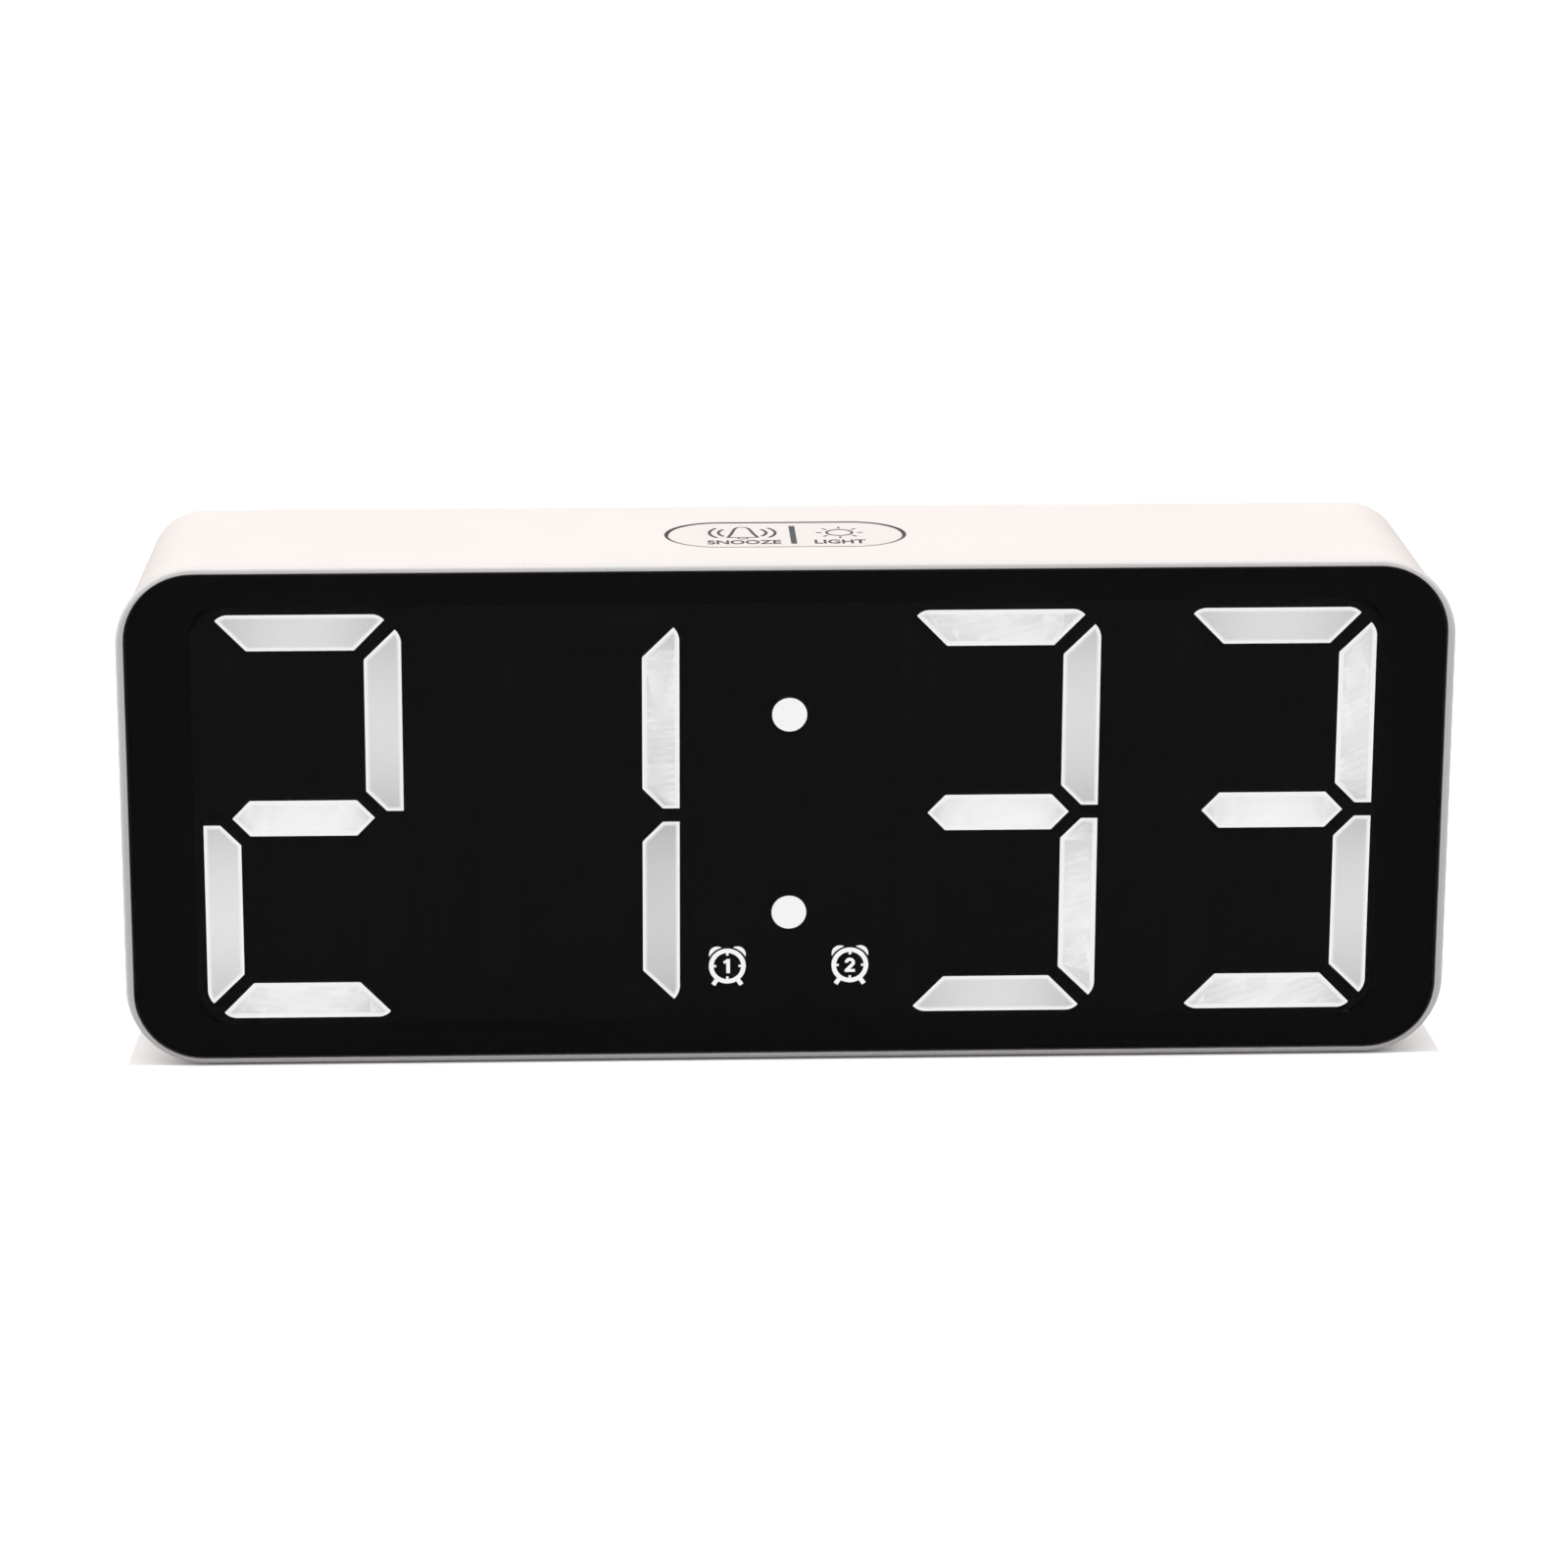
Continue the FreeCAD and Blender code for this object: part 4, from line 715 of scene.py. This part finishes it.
def key_top():
    """Matrix that lays flat signs on the middle of the key's top."""
    low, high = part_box("snooze_light_key")
    middle = (low + high) / 2
    above = Vector((middle.x, middle.y, high.z + MM))
    spot, normal = surface_spot("snooze_light_key", above, Vector((0, 0, -1)))
    return surface_frame(spot, normal, Vector((1, 0, 0)))


def key_signs(ink):
    """What is printed on the snooze and light key."""
    meshes = [moved(mesh, BELL_X, 0) for mesh in bell_strokes()]
    meshes += [moved(mesh, SUN_X, 0) for mesh in sun_strokes()]
    for word, width, middle in KEY_WORDS:
        meshes.append(moved(word_mesh(word, WORD_HEIGHT, width, WORD_WEIGHT), middle, WORD_Y))
    meshes.append(stroke_mesh(flat_points(DIVIDER), KEY_BAR))
    print_on("key_signs", meshes, key_top(), ink, "snooze_key")


def key_gap_shade(rubber):
    """Dark rubber sheet in the gap round the key, just under the surface, painting the shade in the gap."""
    low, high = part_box("snooze_light_key")
    bm = bmesh.new()
    rings = []
    length, width, _ = high - low - Vector((2, 2, 0)) * KEY_FLANGE
    foot = GAP_SHADE_DEPTH + GAP_SHADE_TALL
    for growth, depth in ((GAP_SHADE_IN, GAP_SHADE_DEPTH), (GAP_SHADE_OUT, GAP_SHADE_DEPTH), (GAP_SHADE_OUT, foot), (GAP_SHADE_IN, foot)):
        outline = capsule_outline(length + 2 * growth, width + 2 * growth)
        rings.append([bm.verts.new(p - Vector((0, 0, depth))) for p in outline])
    for ring, following in zip(rings, rings[1:] + rings[:1]):
        bridge_rings(bm, ring, following)
    bmesh.ops.recalc_face_normals(bm, faces=bm.faces)
    bm.transform(key_top())
    gap_shade = add_piece("key_gap_shade", mesh_from(bm, "key_gap_shade"), rubber, "root")
    gap_shade.data.shade_smooth()


def back_label(name, word, start, ink):
    """A word on the back of the shell, where a ray from start meets it."""
    spot, normal = surface_spot("case_shell", start, Vector((0, -1, 0)))
    placing = surface_frame(spot, normal, Vector((-1, 0, 0)))
    print_on(name, [word_mesh(word, LABEL_HEIGHT)], placing, ink, "root")


def back_signs(ink):
    """Names over the back buttons and under the power socket."""
    for name in BACK_LABELS:
        low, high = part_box(name + "_button")
        start = Vector(((low.x + high.x) / 2, high.y + MM, (low.z + high.z) / 2 + LABEL_RISE))
        back_label(name + "_label", name.upper(), start, ink)
    low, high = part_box("power_socket")
    start = Vector(((low.x + high.x) / 2, high.y + SOCKET_CLEAR, low.z - POWER_LABEL_DROP))
    back_label("power_label", "DC 5V", start, ink)


def door_marks(plastic):
    """Grip ribs moulded on the battery door, below the latch."""
    low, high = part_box("battery_door")
    middle = (low.x + high.x) / 2
    start = Vector((middle, high.y + MM, high.z - RIB_DROP))
    spot, normal = surface_spot("battery_door", start, Vector((0, -1, 0)))
    placing = surface_frame(spot, normal, Vector((-1, 0, 0)))
    bm = bmesh.new()
    bars = []
    for i in range(RIBS):
        half = (RIB_LENGTH - RIB_SHORTER * i) * MM / 2
        bars.append(stroke_mesh([Vector((x, -i * RIB_PITCH, 0)) for x in (-half, half)], RIB_WIDTH))
    join_all(bm, bars)
    extruded = bmesh.ops.extrude_face_region(bm, geom=list(bm.faces))
    raised = [v for v in extruded["geom"] if isinstance(v, bmesh.types.BMVert)]
    bmesh.ops.translate(bm, verts=raised, vec=(0, 0, RIB_TALL))
    bmesh.ops.recalc_face_normals(bm, faces=bm.faces)
    bm.transform(placing @ Matrix.Translation((0, 0, -RIB_SINK)))
    mesh = mesh_from(bm, "door_grip_ribs")
    ribs = add_piece("door_grip_ribs", mesh, plastic, "battery_door")
    rounding = ribs.modifiers.new("rounding", "BEVEL")
    rounding.width = RIB_ROUND
    rounding.segments = 3


def cell_print(ink):
    """Size and polarity wrapped round each battery cell."""
    for i in (1, 2, 3):
        node = f"battery_cell_{i}"
        low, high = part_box(node)
        centre = (low + high) / 2
        radius = (high.z - low.z) / 2 + PRINT_THICK
        side = 1 if i % 2 else -1
        words = [moved(word_mesh(CELL_WORD, CELL_WORD_HEIGHT), CELL_WORD_X * side, 0),
                 moved(word_mesh("+", CELL_PLUS_HEIGHT), CELL_PLUS_X * side, 0)]
        bm = bmesh.new()
        join_all(bm, words)
        for step in range(-CELL_SLICES, CELL_SLICES + 1):
            geom = bm.verts[:] + bm.edges[:] + bm.faces[:]
            cut = (0, step * CELL_SLICE, 0)
            bmesh.ops.bisect_plane(bm, geom=geom, plane_co=cut, plane_no=(0, 1, 0))
        for vertex in bm.verts:
            along, angle = vertex.co.x, vertex.co.y / radius
            vertex.co = Vector((centre.x - along, centre.y + math.cos(angle) * radius,
                                centre.z + math.sin(angle) * radius))
        bmesh.ops.recalc_face_normals(bm, faces=bm.faces)
        piece = add_piece(f"cell_{i}_print", mesh_from(bm, node + "_print"), ink, "root")
        thicken(piece, PRINT_THICK)


# ==================================================================== studio
def floor_material():
    """White table top with a glow for the camera alone; the glow stops under the clock and fades in just
    beyond it, which paints a contact shadow round the clock.
    """
    look = Look("floor_paper")
    tone = look.spread(look.noise(0.4, 2.0), 0.0, 1.0)
    paper = look.mix(tone, (0.90, 0.90, 0.90), (0.92, 0.92, 0.92))
    path = look.add("LightPath", {}).outputs
    look.set("Base Color", look.mix(path["Is Diffuse Ray"], paper, FLOOR_BOUNCE))
    look.set("Roughness", look.spread(tone, 0.85, 0.9, 0.0, 1.0))
    look.set("Specular IOR Level", 0.1)
    # painted contact shadow: no glow over the clock's footprint, fading in just outside it
    front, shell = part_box("front_bezel"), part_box("case_shell")
    half_width = front[1].x
    half_depth = shell[1].y
    axes = look.axes()
    narrowing = look.math("MULTIPLY", look.math("SUBTRACT", axes[1], front[0].y), FOOT_TAPER)
    across = look.math("SUBTRACT", look.math("ABSOLUTE", axes[0]), half_width)
    across = look.math("ADD", across, narrowing)
    along = look.math("SUBTRACT", look.math("ABSOLUTE", axes[1]), half_depth)
    outside = look.math("MAXIMUM", across, along)
    glow = look.math("MULTIPLY", look.spread(outside, 0.0, 1.0, 0.0, PAINTED_SHADOW_FADE), FLOOR_GLOW)
    look.set("Emission Color", (1.0, 1.0, 1.0))
    look.set("Emission Strength", look.math("MULTIPLY", glow, path["Is Camera Ray"]))
    return look.material


def make_floor():
    bm = bmesh.new()
    corners = ((-1, -1), (1, -1), (1, 1), (-1, 1))
    bm.faces.new([bm.verts.new((x * FLOOR_REACH, y * FLOOR_REACH, 0.0)) for x, y in corners])
    floor = bpy.data.objects.new("floor", mesh_from(bm, "floor"))
    floor.data.materials.append(floor_material())
    bpy.context.scene.collection.objects.link(floor)
    floor.visible_glossy = False


def make_world():
    """Soft light tent: bright overhead and at the sides, dim in front, white to the camera."""
    world = bpy.data.worlds.new("studio")
    world.use_nodes = True
    bpy.context.scene.world = world
    tree = world.node_tree
    nodes, links = tree.nodes, tree.links
    way = nodes.new("ShaderNodeSeparateXYZ")
    links.new(nodes.new("ShaderNodeTexCoord").outputs["Generated"], way.inputs[0])

    def stretch(axis, limits):
        node = nodes.new("ShaderNodeMapRange")
        links.new(way.outputs[axis], node.inputs["Value"])
        for key, number in zip(("From Min", "From Max", "To Min", "To Max"), limits):
            node.inputs[key].default_value = number
        return node.outputs["Result"]

    def combine(operation, first, second):
        node = nodes.new("ShaderNodeMath")
        node.operation = operation
        links.new(first, node.inputs[0])
        links.new(second, node.inputs[1])
        return node.outputs[0]

    overhead = stretch("Z", TENT_TOP)
    front = stretch("Y", TENT_FRONT)
    left = stretch("X", TENT_LEFT)
    right = stretch("X", TENT_RIGHT)
    total = combine("ADD", combine("MULTIPLY", overhead, front), combine("ADD", left, right))
    light = nodes["Background"]
    light.inputs["Color"].default_value = TENT_TINT
    links.new(total, light.inputs["Strength"])
    seen = nodes.new("ShaderNodeBackground")
    seen.inputs["Color"].default_value = (1.0, 1.0, 1.0, 1.0)
    seen.inputs["Strength"].default_value = 1.0
    swap = nodes.new("ShaderNodeMixShader")
    links.new(nodes.new("ShaderNodeLightPath").outputs["Is Camera Ray"], swap.inputs[0])
    links.new(light.outputs[0], swap.inputs[1])
    links.new(seen.outputs[0], swap.inputs[2])
    links.new(swap.outputs[0], nodes["World Output"].inputs["Surface"])


def make_camera():
    low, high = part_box("display_lens")
    lens_middle = Vector(((low.x + high.x) / 2, low.y, (low.z + high.z) / 2))
    flat = math.cos(CAMERA_ELEVATION)
    forward = Vector((math.sin(CAMERA_YAW) * flat, math.cos(CAMERA_YAW) * flat, -math.sin(CAMERA_ELEVATION)))
    level = Vector((math.cos(CAMERA_YAW), -math.sin(CAMERA_YAW), 0))
    above = level.cross(forward)
    right = level * math.cos(CAMERA_ROLL) + above * math.sin(CAMERA_ROLL)
    up = above * math.cos(CAMERA_ROLL) - level * math.sin(CAMERA_ROLL)
    place = lens_middle + right * AIM_RIGHT + up * AIM_UP - forward * CAMERA_DISTANCE
    data = bpy.data.cameras.new("camera")
    data.lens = CAMERA_LENS
    data.sensor_width = 36.0
    data.clip_start = 0.01
    data.clip_end = 50.0
    camera = bpy.data.objects.new("camera", data)
    camera.matrix_world = Matrix.Translation(place) @ Matrix((right, up, -forward)).transposed().to_4x4()
    bpy.context.scene.collection.objects.link(camera)
    bpy.context.scene.camera = camera


bpy.context.scene.view_settings.view_transform = "Standard"
looks = make_looks()
paint_nodes(looks)
sign_grey = sign_ink("sign_grey", INK)
make_display(lit_film(), black_ink())
key_signs(sign_grey)
# painted shade: dark sheet in the gap round the key
key_gap_shade(looks["foot_rubber"])
back_signs(sign_ink("label_grey", (0.10, 0.10, 0.105)))
door_marks(looks["white_door"])
cell_print(sign_ink("cell_white", (0.75, 0.75, 0.74)))
make_floor()
make_world()
make_camera()
